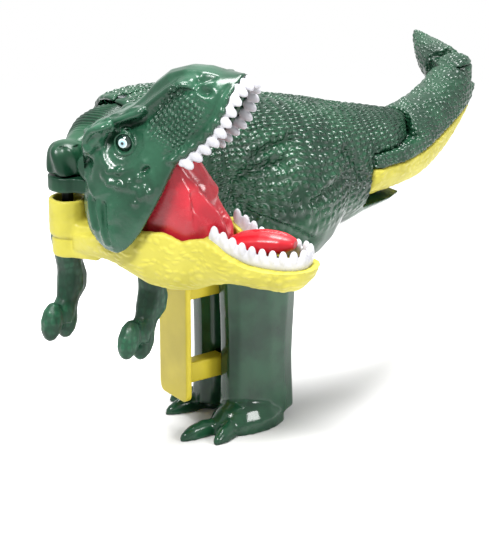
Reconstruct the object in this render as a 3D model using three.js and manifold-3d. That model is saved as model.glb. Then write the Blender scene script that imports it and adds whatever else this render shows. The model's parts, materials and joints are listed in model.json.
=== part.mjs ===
// A squeeze-trigger toy dinosaur: a hand-held figure whose legs are the grip. Squeezing the yellow
// trigger swings the neck and head round from the side to the front, shuts the jaws and swings the
// tail. Millimetres, +Z up; the dinosaur faces -Y and its left is +X; the soles stand on Z = 0.
import * as THREE from 'three';
import { mergeVertices } from 'three/addons/utils/BufferGeometryUtils.js';
import Module from 'manifold-3d';

const wasm = await Module();
wasm.setup();
const degrees = THREE.MathUtils.degToRad;

// Fits shared by every piece.
const fit = {
  clearance: 0.35, // between pieces that turn in, slide in or rest on each other
  overrun: 2, // how far a cut runs past what it cuts
  wall: 1.8, // moulded shell thickness
  seam: 0.3, // between the two body shells
  touch: 0.001, // between pieces made to lie on each other
};

// Turns of the joints as the figure is held in the photograph, in degrees. The neck, head and tail
// hinges are upright and turn to the figure's left, the tail's turn to its right.
const rest = {
  neckTurn: 24, headTurn: 99, mouthOpen: 56, tailTurn: 12, tipTurn: 41, leftArmSwing: 24, rightArmSwing: 15,
};
const swing = { neck: 40, head: 80, jaw: 44, tail: 40 };

// Upright hinges on the middle plane and how far the next hinge lies from each.
const neckHinge = { ahead: 11, reach: 26.5, roofZ: 103.4, footZ: 57.4 };
const tailHinge = { inset: 9, reach: 46, topZ: 85.4, footZ: 61.6 };
const headPin = { footZ: 67.9, topZ: 94 };
const tipPin = { footZ: 82, topZ: 93 };
const pin = { radius: 1.5, headRadius: 2.7, headHeight: 1.3 };

// The moulded body, split left and right on the middle plane.
const torso = { frontY: -26, length: 85, halfWidth: 20, baseZ: 55, height: 50, power: 2.3 };
const hood = {
  ahead: 14.5, length: 18, halfWidth: 17.4, baseZ: 76, height: 28.7, power: 2.6,
  rimSweep: 4.5, rimLowZ: 86, rearLowZ: 70, steps: 6,
};
const thigh = { x: 11.8, y: 7, z: 70, halfWidth: 12.4, halfLength: 21.5, halfHeight: 20 };
const leg = { x: 6.9, y: 2, halfWidth: 7.5, halfDepth: 12, footZ: 6, topZ: 62 };
const limbPower = 2.3; // how square the legs and arms are, 2 being round
const foot = {
  x: 9.6, y: 0, ahead: 3.5, soleZ: 3.4, halfWidth: 8, halfLength: 12.5, height: 9.5, toeRadius: 2.8, toeLength: 8.4,
};
const tongue = { pocketRadius: 19.5, underZ: 78.2, overZ: 62.4, flapReach: 4, tipRadius: 9 };
const screw = { radius: 1.2, headRadius: 2.4, headHeight: 1.6, length: 16, seatX: -9.5, bossRadius: 3.3 };
const bracket = { halfWidth: 5.5, baseZ: 57.8, topZ: 62.4, flangeHalfWidth: 9, flangeTopZ: 67, flangeThickness: 2.4 };

// The neck: a ribbed dome over its hinge, a knuckle over the head's hinge and a yoke for the arms.
const neck = { rearY: 8, halfWidth: 12.4, baseZ: 79, height: 22.2, power: 2.1, armLeftX: 3, cheekY: -10.2 };
const knuckle = { radius: 5.2, baseZ: 89.2, topZ: 98, dome: 0.6, freeFrom: 0.52 }; // shares of its radius and reach
const yoke = { baseZ: 62.8, topZ: 68.6, halfWidth: 6, y: -8, halfDepth: 2.8, barrelRadius: 5.2, stubRadius: 1.6 };
const arm = { thickness: 8, width: 10.4, length: 31.5, shoulder: 5, outset: 3.6, fingerRadius: 3.2 };

// The head, seen from its jaw hinge: forward is -Y, up is +Z.
const jawHinge = { reach: 20.8, z: 81.8, pinRadius: 1.4, pinFrom: 8.6 };
const head = { rear: -8.8, length: 59.8, halfWidth: 15.6, base: -6, height: 28.2, drop: 9, power: 2.35 };
const jaw = { rear: -17.5, length: 66, halfWidth: 12.3, base: -17.9, height: 17, rise: 8, skin: 1.7, rim: 4.4, rimFrom: 21, power: 2.6 };
const ring = { radius: 5.1, baseZ: 72.7, topZ: 82.6, boreRadius: 3.7, boreDepth: 6, carrierBaseZ: 85, carrierTopZ: 88.8, earRadius: 2.8, stemHalf: 1.9 };
const carrier = { halfWidth: 3.6, barRadius: 2.4 };
const notch = { halfWidth: 6.1, front: 9, gateTopZ: 3.6 };
const teeth = { bandThickness: 1.5, bandHeight: 1.1, seat: 0.5, radius: 1.35, depth: 1, length: 2.3, from: 22.5, spacing: 3.3 };
const bite = { upperInset: 1.2, lowerInset: 3.2, hollowInset: 2.7, palateZ: 2.5 }; // upper teeth pass outside the lower
const eye = { radius: 2.6, along: 18.1, up: 10.6, sink: 1.5 };
const brow = { halfWidth: 2.6, halfLength: 9.5, halfHeight: 2.3, tilt: 8, toe: 12, aside: 0.78, along: 0.37, up: 0.83 };
const mouth = {
  halfWidth: 8.8, thickness: 0.9, topZ: 15.2, baseZ: -6.4, topFront: 13.2, baseFront: 24.4, rear: 4.4,
  swell: 2.2, crease: 1.1, creases: 7, slant: 5, lean: 1.15, narrowing: 0.16, squareness: 0.62,
};
const lick = { from: 20.5, length: 22, halfWidth: 4.7, baseZ: -11.5, height: 7.8, power: 2.2, grooveHalf: 0.16, grooveAt: 0.86 };

// The tail.
const tail = { halfWidth: 14.2, baseZ: 59.9, height: 36, power: 2.2, bend: 21, bendPower: 1.4, wedge: 56, knuckle: 6.4 };
const tip = { length: 31, rise: 7, halfWidth: 6.4, halfHeight: 6, tongueRadius: 5.4, tongueHeight: 5.6, z: 88, gap: 1.2 };

// The trigger, and the bar that carries its stroke to the neck and the tail.
const trigger = { y: -22.3, thickness: 1.9, halfWidth: 7, baseZ: 13, topZ: 55, webHalf: 2.4, webRearY: -4, corner: 3 };
const web = { baseZ: 42, topZ: 53.6, finBaseZ: 17, finTopZ: 23, finRearY: -6 };
const bar = { x: -8.5, halfWidth: 2.3, frontZ: 75.4, rearZ: 68.9, thickness: 3.1, pegRadius: 1.25, pegHeight: 3.6,
  postFrontY: -6.5, postRearY: 0.5, footZ: 54 };
const coil = { radius: 3, wire: 0.5, turns: 6, z: 47.6, rearY: 12.4, stepsPerTurn: 8 };

const neckY = torso.frontY - neckHinge.ahead; // the neck's hinge stands ahead of the torso
const rimY = torso.frontY - hood.ahead;
const tailY = torso.frontY + torso.length - tailHinge.inset; // the tail's hinge, within the torso's rear end
const halfSwing = degrees(swing.neck / 2);
const pegLead = bar.x * Math.tan(halfSwing); // how far each peg stands ahead of its hinge at rest
const stroke = -2 * pegLead;

const looks = {
  green: { color: 0x1f4a35, roughness: 0.32, metalness: 0 },
  yellow: { color: 0xe3d545, roughness: 0.42, metalness: 0 },
  white: { color: 0xf3f3ee, roughness: 0.35, metalness: 0 },
  red: { color: 0xc02a35, roughness: 0.4, metalness: 0 },
  grey: { color: 0x4a4f52, roughness: 0.45, metalness: 0 },
  eye: { color: 0xb9d4d6, roughness: 0.12, metalness: 0 },
  steel: { color: 0xb9bcc0, roughness: 0.3, metalness: 1 },
};

// A closed body through rings of equally many points. Its ends are closed by fans, or by strips where
// each ring runs out along one side of a thin sheet and back along the other.
function throughRings(rings, strips = false) {
  const count = rings[0].length;
  const corners = rings.flat();
  const faces = [];
  for (let r = 0; r + 1 < rings.length; r += 1) {
    for (let i = 0; i < count; i += 1) {
      const a = r * count + i;
      const b = r * count + ((i + 1) % count);
      faces.push(a, b, a + count, b, b + count, a + count);
    }
  }
  for (const [start, flip] of [[0, true], [(rings.length - 1) * count, false]]) {
    if (strips) {
      faces.push(...stripAcross(start, count, flip));
      continue;
    }
    const middle = corners.length;
    const rim = corners.slice(start, start + count);
    corners.push(rim.reduce((sum, p) => sum.add(p), new THREE.Vector3()).divideScalar(count));
    for (let i = 0; i < count; i += 1) {
      const a = start + i;
      const b = start + ((i + 1) % count);
      faces.push(...(flip ? [b, a, middle] : [a, b, middle]));
    }
  }
  const geometry = new THREE.BufferGeometry();
  geometry.setAttribute('position', new THREE.Float32BufferAttribute(corners.flatMap((p) => p.toArray()), 3));
  geometry.setIndex(volumeOf(corners, faces) < 0 ? faces.reverse() : faces);
  return geometry;
}

// Faces between the two sides of a ring that bounds a thin sheet's edge.
function stripAcross(start, count, flip) {
  const faces = [];
  for (let i = 0; i + 1 < count / 2; i += 1) {
    const [a, b, c, d] = [start + i, start + i + 1, start + count - 2 - i, start + count - 1 - i];
    faces.push(...(flip ? [b, a, c, c, a, d] : [a, b, c, a, c, d]));
  }
  return faces;
}

// Six times the signed volume inside a set of faces.
function volumeOf(corners, faces) {
  let sum = 0;
  const cross = new THREE.Vector3();
  for (let i = 0; i < faces.length; i += 3) {
    sum += cross.crossVectors(corners[faces[i + 1]], corners[faces[i + 2]]).dot(corners[faces[i]]);
  }
  return sum;
}

// A solid for joining and cutting, from any closed geometry.
function solid(geometry, matrix) {
  const bare = geometry.clone();
  for (const extra of ['normal', 'uv', 'uv1']) bare.deleteAttribute(extra);
  if (matrix) bare.applyMatrix4(matrix);
  const merged = mergeVertices(bare, 1e-4);
  return new wasm.Manifold(new wasm.Mesh({
    numProp: 3,
    vertProperties: new Float32Array(merged.attributes.position.array),
    triVerts: new Uint32Array(merged.index.array),
  }));
}

function joined(solids) {
  return solids.reduce((whole, part) => whole.add(part));
}

function cut(base, solids) {
  return solids.reduce((whole, part) => whole.subtract(part), base);
}

// The biggest of a solid's separate lumps, cutting having left crumbs beside it.
function largest(made) {
  return made.decompose().sort((a, b) => b.volume() - a.volume())[0];
}

// A named mesh from a solid.
function piece(name, look, made) {
  const { vertProperties, triVerts } = made.getMesh();
  const geometry = new THREE.BufferGeometry();
  geometry.setAttribute('position', new THREE.Float32BufferAttribute(vertProperties, 3));
  geometry.setIndex([...triVerts]);
  const mesh = new THREE.Mesh(geometry, new THREE.MeshStandardMaterial(looks[look]));
  mesh.name = name;
  return mesh;
}

function group(position, turn, members) {
  const made = new THREE.Group();
  made.position.set(...position);
  made.rotation.set(...turn);
  made.add(...members);
  return made;
}

// A box between three pairs of limits.
function block([x0, x1], [y0, y1], [z0, z1]) {
  const at = new THREE.Matrix4().makeTranslation((x0 + x1) / 2, (y0 + y1) / 2, (z0 + z1) / 2);
  return solid(new THREE.BoxGeometry(x1 - x0, y1 - y0, z1 - z0), at);
}

function post(x, y, radius, [z0, z1], sides = 16) {
  const upright = new THREE.CylinderGeometry(radius, radius, z1 - z0, sides).rotateX(Math.PI / 2);
  return solid(upright, new THREE.Matrix4().makeTranslation(x, y, (z0 + z1) / 2));
}

// A round bar across the figure.
function axle(y, z, radius, [x0, x1], sides = 12) {
  const across = new THREE.CylinderGeometry(radius, radius, x1 - x0, sides).rotateZ(Math.PI / 2);
  return solid(across, new THREE.Matrix4().makeTranslation((x0 + x1) / 2, y, z));
}

function ball([x, y, z], [rx, ry, rz], around = 24, down = 14) {
  const round = new THREE.SphereGeometry(1, around, down).rotateX(Math.PI / 2).scale(rx, ry, rz);
  return solid(round, new THREE.Matrix4().makeTranslation(x, y, z));
}

// A flat outline in plan, raised between two levels.
function slab(points, [z0, z1]) {
  const outline = new THREE.Shape(points.map(([x, y]) => new THREE.Vector2(x, y)));
  const raised = new THREE.ExtrudeGeometry(outline, { depth: z1 - z0, bevelEnabled: false });
  return solid(raised, new THREE.Matrix4().makeTranslation(0, 0, z0));
}

// An outline in side view, points as [forward, up], carried across the figure.
function sideways(points, halfWidth) {
  const outline = new THREE.Shape(points.map(([forward, up]) => new THREE.Vector2(forward, up)));
  const across = new THREE.ExtrudeGeometry(outline, { depth: 2 * halfWidth, bevelEnabled: false });
  const forwardDown = new THREE.Matrix4().makeBasis(
    new THREE.Vector3(0, -1, 0), new THREE.Vector3(0, 0, 1), new THREE.Vector3(-1, 0, 0));
  forwardDown.setPosition(halfWidth, 0, 0);
  return solid(across, forwardDown);
}

// Rows of numbers with smooth rows set between them.
function smoothed(rows, between) {
  const out = [];
  for (let i = 0; i + 1 < rows.length; i += 1) {
    const [a, b, c, d] = [rows[Math.max(i - 1, 0)], rows[i], rows[i + 1], rows[Math.min(i + 2, rows.length - 1)]];
    for (let k = 0; k < between; k += 1) {
      const t = k / between;
      out.push(b.map((_, j) => {
        const bend = (2 * a[j] - 5 * b[j] + 4 * c[j] - d[j]) * t * t + (3 * b[j] - a[j] - 3 * c[j] + d[j]) * t ** 3;
        return b[j] + ((c[j] - a[j]) * t + bend) / 2;
      }));
    }
  }
  out.push(rows[rows.length - 1]);
  return out;
}

// Half as many rows, enough for a hollow's inner wall.
function everySecond(rows) {
  return rows.filter((_, i) => i % 2 === 0);
}

// The row at a place along a table, its first column being the place.
function rowAt(rows, along) {
  const next = Math.max(1, rows.findIndex((row) => row[0] >= along));
  const [a, b] = [rows[next - 1], rows[next]];
  const t = THREE.MathUtils.clamp((along - a[0]) / (b[0] - a[0]), 0, 1);
  return a.map((value, j) => value + (b[j] - value) * t);
}

// A rounded ring about a middle, flat against its travel.
function ovalRing(middle, across, up, halfWidth, halfHeight, power, sides) {
  return Array.from({ length: sides }, (_, i) => {
    const angle = (2 * Math.PI * i) / sides;
    const round = (value) => Math.sign(value) * Math.abs(value) ** (2 / power);
    return middle.clone()
      .addScaledVector(across, halfWidth * round(Math.cos(angle)))
      .addScaledVector(up, halfHeight * round(Math.sin(angle)));
  });
}

const acrossX = new THREE.Vector3(1, 0, 0);
const upZ = new THREE.Vector3(0, 0, 1);

// A long form lying along Y. Each row is [along, half width, top, bottom] in shares of the form.
function lying(form, rows, sides, inset = 0) {
  const toward = form.toward ?? 1;
  const scale = (form.length - 2 * inset) / form.length;
  return solid(throughRings(rows.map(([along, half, top, bottom]) => {
    const y = form.from + toward * (inset + along * form.length * scale);
    const high = form.baseZ + top * form.height - inset;
    const low = form.baseZ + bottom * form.height + inset;
    const middle = new THREE.Vector3(0, y, (high + low) / 2);
    const halfWidth = half * form.halfWidth - inset;
    return ovalRing(middle, acrossX, upZ, halfWidth, (high - low) / 2, form.power, sides);
  })));
}

// Rows of an upright form: [down, y, half width across, half depth] in shares of the form.
function hanging(form, rows, sides) {
  const acrossY = new THREE.Vector3(0, 1, 0);
  return solid(throughRings(rows.map(([down, y, half, depth]) => {
    const middle = new THREE.Vector3(form.x, form.y + y * form.halfDepth, form.topZ - down * form.length);
    return ovalRing(middle, acrossX, acrossY, half * form.halfWidth, depth * form.halfDepth, limbPower, sides);
  })));
}

// The body's shape, front to rear: [along, half width, top, bottom].
const torsoShares = smoothed([
  [0, 0.87, 0.985, 0.06], [0.13, 0.94, 0.96, 0.02], [0.27, 0.99, 0.905, 0], [0.4, 1, 0.848, 0],
  [0.54, 0.96, 0.797, -0.02], [0.66, 0.85, 0.743, 0], [0.74, 0.76, 0.705, 0.035],
  [0.825, 0.69, 0.671, 0.06], [0.87, 0.63, 0.652, 0.07], [0.9, 0.54, 0.64, 0.075], [0.935, 0.42, 0.628, 0.08],
  [0.97, 0.3, 0.61, 0.09], [1, 0.1, 0.59, 0.11],
], 2);
const hoodShares = [[0, 0.93, 0.955, -0.3], [0.3, 0.96, 0.985, -0.3], [0.62, 0.99, 1, -0.3], [1, 1, 0.985, -0.3]];
const legShares = smoothed([
  [0, 0.02, 1.1, 1.16], [0.2, 0, 1, 1.05], [0.45, 0, 0.93, 0.99], [0.7, -0.02, 0.9, 0.95], [0.88, -0.02, 0.96, 0.96],
  [1, -0.04, 1.02, 1],
], 2);
const toeShares = [[-0.12, 1.17, 4], [0.5, 0.72, 27]]; // [across the foot, forward, outward turn in degrees]
const screwShares = [[0.12, 0.72], [0.58, 0.6]]; // along the torso, up the torso
const legScrewShares = [0.45, 0.9]; // down the leg

// The torso with its thighs, legs and feet, as one solid form or as the hollow inside it.
function bodyForm(inset) {
  const lengthened = { ...torso, from: torso.frontY };
  const coarser = (rows) => (inset ? everySecond(rows) : rows);
  const parts = [lying(lengthened, coarser(torsoShares), inset ? 16 : 24, inset)];
  const legForm = { ...leg, length: leg.topZ - leg.footZ };
  for (const side of [-1, 1]) {
    parts.push(ball([side * thigh.x, thigh.y, thigh.z],
      [thigh.halfWidth - inset, thigh.halfLength - inset, thigh.halfHeight - inset], inset ? 10 : 16, inset ? 6 : 10));
    const narrowed = { ...legForm, x: side * leg.x, halfWidth: leg.halfWidth - inset, halfDepth: leg.halfDepth - inset };
    parts.push(hanging(narrowed, coarser(legShares), inset ? 10 : 14));
  }
  return joined(parts);
}

// A foot: a domed pad and its clawed toes, the left foot set a little ahead of the right.
function footForm(side) {
  const middle = [side * foot.x, foot.y - side * foot.ahead, foot.soleZ];
  const pad = ball(middle, [foot.halfWidth, foot.halfLength, foot.height], 14, 8);
  const toes = toeShares.map(([across, forward, turn]) => {
    const toe = new THREE.SphereGeometry(1, 8, 6)
      .scale(foot.toeRadius, foot.toeLength, foot.height / 2)
      .rotateZ(side * degrees(turn));
    return solid(toe, new THREE.Matrix4().makeTranslation(
      middle[0] + side * across * foot.halfWidth, middle[1] - forward * foot.halfLength, foot.soleZ));
  });
  return joined([pad, ...toes]);
}

// The screws' places: [y, z].
const screwPlaces = [
  ...screwShares.map(([along, up]) => [torso.frontY + along * torso.length, torso.baseZ + up * torso.height]),
  ...legScrewShares.map((down) => [leg.y, leg.topZ - down * (leg.topZ - leg.footZ)]),
];

// The hood over the neck, its rim swept back at the sides and its sides' lower edge sloping.
function hoodForm(inset) {
  const front = inset ? rimY - fit.overrun * 2 - inset : rimY;
  const form = { ...hood, from: front, length: rimY + hood.length - front };
  const whole = lying(form, hoodShares, inset ? 18 : 22, inset);
  if (inset) {
    return whole.intersect(block([-hood.halfWidth, hood.halfWidth], [front, torso.frontY], [0, hood.baseZ * 2]));
  }
  const sweep = Array.from({ length: 2 * hood.steps + 1 }, (_, i) => {
    const share = i / hood.steps - 1;
    return [share * (hood.halfWidth + fit.overrun), rimY + hood.rimSweep * share * share];
  });
  const ahead = rimY - hood.length;
  const rear = rimY + hood.length;
  return cut(whole, [
    slab([...sweep, [hood.halfWidth + fit.overrun, ahead], [-hood.halfWidth - fit.overrun, ahead]],
      [0, hood.baseZ * 2]),
    sideways([[-ahead, hood.rimLowZ], [-rimY, hood.rimLowZ], [-rear, hood.rearLowZ], [-rear, 0], [-ahead, 0]],
      hood.halfWidth * 2),
  ]);
}

function bodyShells() {
  const wide = torso.halfWidth * 2;
  const rearInside = tailY - tongue.pocketRadius - fit.clearance - fit.wall;
  const inside = bodyForm(fit.wall).subtract(
    block([-wide, wide], [rearInside, torso.frontY + torso.length + fit.overrun], [0, torso.baseZ + torso.height]));
  let whole = cut(joined([bodyForm(0), hoodForm(0), footForm(-1), footForm(1)]), [inside, hoodForm(fit.wall)]);
  const bosses = screwPlaces.map(([y, z]) => axle(y, z, screw.bossRadius, [-wide, wide], 8));
  whole = whole.add(joined(bosses).intersect(bodyForm(0)));
  const clear = fit.clearance;
  const barWide = [bar.x - bar.halfWidth - clear, bar.x + bar.halfWidth + clear];
  const webWide = [-trigger.webHalf - clear, trigger.webHalf + clear];
  const frontOfLeg = leg.y - leg.halfDepth * 2;
  const springWide = coil.radius + coil.wire + clear;
  const cuts = [
    block([-wide, wide], [-wide, wide], [-foot.height - fit.overrun, foot.soleZ]),
    // the tail's pocket between the tongue above and the flap below
    post(0, tailY, tongue.pocketRadius + clear, [tongue.overZ, tongue.underZ], 32),
    block([-wide, wide], [tailY + tongue.flapReach, tailY + wide], [0, tongue.overZ + clear]),
    // the ways for the drive bar, the trigger's web and fin, and the spring
    block(barWide, [torso.frontY - fit.overrun, torso.frontY + fit.wall * 2],
      [bar.frontZ - clear, bar.frontZ + bar.thickness + clear]),
    block(barWide, [rearInside - fit.overrun, tailY], [bar.rearZ - clear, bar.rearZ + bar.thickness + clear]),
    block([barWide[0], trigger.webHalf + clear], [bar.postFrontY - clear, bar.postRearY + stroke + clear],
      [bar.footZ - clear, bar.footZ + bar.thickness + clear]),
    block(webWide, [frontOfLeg, trigger.webRearY + stroke + clear], [web.baseZ - clear, web.topZ + clear]),
    block(webWide, [frontOfLeg, web.finRearY + stroke + clear], [web.finBaseZ - clear, web.finTopZ + clear]),
    block([-springWide, springWide], [trigger.webRearY, coil.rearY + coil.wire + clear],
      [coil.z - springWide, coil.z + springWide]),
    // hinge pins
    post(0, neckY, pin.radius + clear, [neckHinge.footZ, neckHinge.roofZ + clear]),
    post(0, tailY, pin.radius + clear, [tailHinge.footZ - clear, tailHinge.topZ + clear]),
    ...screwPlaces.flatMap(([y, z]) => [
      axle(y, z, screw.headRadius + clear, [-wide, screw.seatX], 12),
      axle(y, z, screw.radius + clear, [screw.seatX - clear, screw.seatX + screw.length + clear], 8),
    ]),
  ];
  whole = cut(whole, cuts);
  const half = (side) => block(side > 0 ? [fit.seam / 2, wide * 2] : [-wide * 2, -fit.seam / 2],
    [-wide * 4, wide * 4], [-wide, wide * 4]);
  return [
    piece('body_shell_left', 'green', largest(whole.intersect(half(1)))),
    piece('body_shell_right', 'green', largest(whole.intersect(half(-1)))),
  ];
}

function screws() {
  return screwPlaces.map(([y, z], i) => piece(`shell_screw_${i + 1}`, 'steel', joined([
    axle(y, z, screw.headRadius, [screw.seatX - screw.headHeight - fit.clearance, screw.seatX - fit.clearance], 12),
    axle(y, z, screw.radius, [screw.seatX - screw.headHeight / 2, screw.seatX + screw.length], 8),
  ])));
}

// The shelf in front of the chest that holds the foot of the neck's pin.
function chestBracket() {
  const rear = torso.frontY - fit.clearance;
  const shelf = block([-bracket.halfWidth, bracket.halfWidth], [neckY, rear], [bracket.baseZ, bracket.topZ]);
  const nose = post(0, neckY, bracket.halfWidth, [bracket.baseZ, bracket.topZ]);
  const flange = block([-bracket.flangeHalfWidth, bracket.flangeHalfWidth], [rear - bracket.flangeThickness, rear],
    [bracket.baseZ, bracket.flangeTopZ]);
  const bore = post(0, neckY, pin.radius + fit.clearance, [bracket.baseZ - fit.overrun, bracket.topZ + fit.overrun]);
  return piece('chest_bracket', 'green', joined([shelf, nose, flange]).subtract(bore));
}

function uprightPin(name, x, y, [z0, z1], headed) {
  const shaft = post(x, y, pin.radius, [headed ? z0 - pin.headHeight / 2 : z0, z1], 16);
  const below = headed ? [post(x, y, pin.headRadius, [z0 - pin.headHeight, z0])] : [];
  return piece(name, 'steel', joined([shaft, ...below]));
}

// The neck, seen from its own hinge with forward as -Y.
const neckShares = smoothed([
  [0, 0.3, 0.7, 0.2], [0.12, 0.72, 0.9, 0.04], [0.26, 0.97, 0.985, 0], [0.37, 1, 1, 0], [0.5, 0.93, 0.985, 0.02],
  [0.66, 0.7, 0.94, 0.18], [0.82, 0.47, 0.87, 0.3], [1, 0.3, 0.76, 0.36],
], 2);

function slotDirection(turn) {
  return new THREE.Vector2(-Math.cos(turn), -Math.sin(turn));
}

// A slot from near a hinge outwards, for a peg of the drive bar.
function pegSlot(turn, [z0, z1]) {
  const along = slotDirection(turn);
  const side = new THREE.Vector2(-along.y, along.x).multiplyScalar(bar.pegRadius + fit.clearance * 1.4);
  const near = along.clone().multiplyScalar(-bar.x - bar.pegRadius * 2);
  const far = along.clone().multiplyScalar(-bar.x / Math.cos(halfSwing) + bar.pegRadius * 2);
  const points = [near.clone().add(side), near.clone().sub(side), far.clone().sub(side), far.clone().add(side)];
  return slab(points.map((p) => [p.x, p.y]), [z0, z1]);
}

function neckLink() {
  const form = { from: neck.rearY, toward: -1, length: neck.rearY + neckHinge.reach, halfWidth: neck.halfWidth,
    baseZ: neck.baseZ, height: neck.height, power: neck.power };
  const dome = lying(form, neckShares, 16);
  const wide = neck.halfWidth * 2;
  const cheekRoom = block([neck.armLeftX, wide], [-wide, neck.cheekY], [0, neck.baseZ * 2]);
  const domeZ = knuckle.topZ - knuckle.radius * knuckle.dome;
  const knob = joined([
    post(0, -neckHinge.reach, knuckle.radius, [knuckle.baseZ, domeZ]),
    ball([0, -neckHinge.reach, domeZ], [knuckle.radius, knuckle.radius, knuckle.radius * knuckle.dome], 16, 6),
  ]);
  const barrel = post(0, 0, yoke.barrelRadius, [yoke.baseZ, neck.baseZ + fit.wall]);
  const beam = block([-yoke.halfWidth, yoke.halfWidth], [yoke.y - yoke.halfDepth, yoke.y + yoke.halfDepth],
    [yoke.baseZ, yoke.topZ]);
  const stem = block([-yoke.barrelRadius * 0.8, yoke.barrelRadius * 0.8], [yoke.y, 0], [yoke.baseZ, yoke.topZ]);
  const stubZ = (yoke.baseZ + yoke.topZ) / 2;
  const stubReach = yoke.halfWidth + fit.clearance + arm.thickness / 2 + stubLength;
  const stub = axle(yoke.y, stubZ, yoke.stubRadius, [-stubReach, stubReach]);
  const under = block([-wide, wide], [-wide * 2, -neckHinge.reach * knuckle.freeFrom], [0, knuckle.baseZ]);
  const whole = joined([dome.subtract(cheekRoom).subtract(under), knob, barrel, beam, stem, stub]);
  const midTurn = degrees(swing.neck / 2 - rest.neckTurn);
  return piece('neck_link', 'green', cut(whole, [
    post(0, 0, pin.radius + fit.clearance, [0, neck.baseZ * 2]),
    post(0, -neckHinge.reach, pin.radius + fit.clearance, [0, headPin.topZ + fit.clearance]),
    pegSlot(midTurn, [neck.baseZ - fit.overrun, bar.frontZ + bar.thickness + bar.pegHeight + fit.clearance]),
  ]));
}

// An arm seen from its shoulder pin, hanging down -Z with its fingers forward.
const armShares = smoothed([
  [-0.165, -0.08, 0.5, 0.42], [-0.08, -0.05, 0.85, 0.84], [0.03, 0, 0.95, 0.98], [0.16, 0.05, 1, 1], [0.3, 0.3, 0.86, 0.82], [0.46, 0.95, 0.9, 0.94],
  [0.58, 1.05, 0.92, 0.92], [0.7, 0.85, 0.7, 0.68], [0.82, 0.55, 0.82, 0.86], [0.9, 0.4, 0.8, 0.9],
], 1);
const stubLength = arm.thickness * 0.22; // past the middle of the shoulder
const fingerShares = [[-0.35, 0.9], [1, 0.88]]; // [forward of the shoulder, down]

function dinoArm(name, side) {
  const form = { x: side * arm.outset, y: 0, topZ: arm.shoulder * 0.6, length: arm.length,
    halfWidth: arm.thickness / 2, halfDepth: arm.width / 2 };
  const limb = hanging(form, armShares, 10);
  const fingers = fingerShares.map(([y, down]) => ball([form.x, y * form.halfDepth, form.topZ - down * form.length],
    [arm.fingerRadius, arm.fingerRadius, arm.fingerRadius * 1.75], 8, 6));
  const outward = (from, to) => [side * from, side * to].sort((a, b) => a - b);
  const boss = axle(0, 0, yoke.stubRadius * 2.4, outward(-arm.thickness / 2, arm.outset));
  const bore = axle(0, 0, yoke.stubRadius + fit.clearance, outward(-arm.thickness, stubLength + fit.clearance));
  return piece(name, 'green', joined([limb, boss, ...fingers]).subtract(bore));
}

// The head's shape from its rear forwards: [along, half width, top, tooth line].
const headShares = smoothed([
  [0, 0.782, 0.426, 0.234], [0.013, 0.859, 0.532, 0.156], [0.037, 0.923, 0.599, 0.064],
  [0.075, 0.974, 0.667, 0.025], [0.122, 1, 0.738, 0.007], [0.172, 1, 0.794, 0],
  [0.231, 1, 0.848, 0.007], [0.276, 0.981, 0.901, 0.018], [0.323, 0.955, 1, 0.032],
  [0.39, 0.897, 0.95, 0.053], [0.478, 0.808, 0.844, 0.096], [0.54, 0.744, 0.784, 0.106],
  [0.607, 0.692, 0.755, 0.06], [0.674, 0.654, 0.741, 0.014], [0.754, 0.622, 0.691, 0.025],
  [0.836, 0.577, 0.582, 0.05], [0.896, 0.513, 0.44, 0.078], [0.94, 0.41, 0.28, 0.096],
  [0.982, 0.25, 0.167, 0.106], [1, 0.122, 0.145, 0.124],
], 1);
const jawShares = smoothed([
  [0, 0.38, 0.6, 0.2], [0.1, 0.58, 0.67, 0.24], [0.182, 0.75, 0.75, 0.21], [0.265, 0.9, 0.85, 0.08],
  [0.348, 0.96, 0.925, -0.06], [0.43, 0.93, 0.935, -0.1], [0.5, 0.88, 0.82, -0.07], [0.54, 0.875, 0.88, -0.03],
  [0.6, 0.89, 0.91, 0.07], [0.67, 0.865, 0.76, 0.13], [0.72, 0.815, 0.64, 0.125], [0.803, 0.75, 0.565, 0.1],
  [0.885, 0.68, 0.545, 0.085], [0.94, 0.57, 0.56, 0.14], [0.98, 0.4, 0.6, 0.3], [1, 0.2, 0.63, 0.48],
], 1);

function place(form, share) {
  return form.rear + share * form.length;
}

// The line of a jaw's edge in side view, closed far above or below.
function edgeCut(form, rows, column, far) {
  const line = rows.map((row) => [place(form, row[0]), form.base + row[column] * form.height]);
  const [first, last] = [line[0], line[line.length - 1]];
  const ahead = last[0] + form.halfWidth;
  const behind = first[0] - form.halfWidth;
  const points = [[behind, first[1]], ...line, [ahead, last[1]], [ahead, far], [behind, far]];
  return sideways(points, form.halfWidth * 2);
}

// The outside of the upper head or lower jaw, its sides running straight down or up to its edge.
function jawForm(form, rows, { below, above }, inset) {
  const deeper = (inset ? everySecond(rows) : rows).map(([along, half, top, bottom]) => [
    along, half, top + above / form.height, bottom - below / form.height]);
  return lying({ ...form, from: -form.rear, toward: -1, baseZ: form.base }, deeper, inset ? 14 : 20, inset);
}

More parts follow.
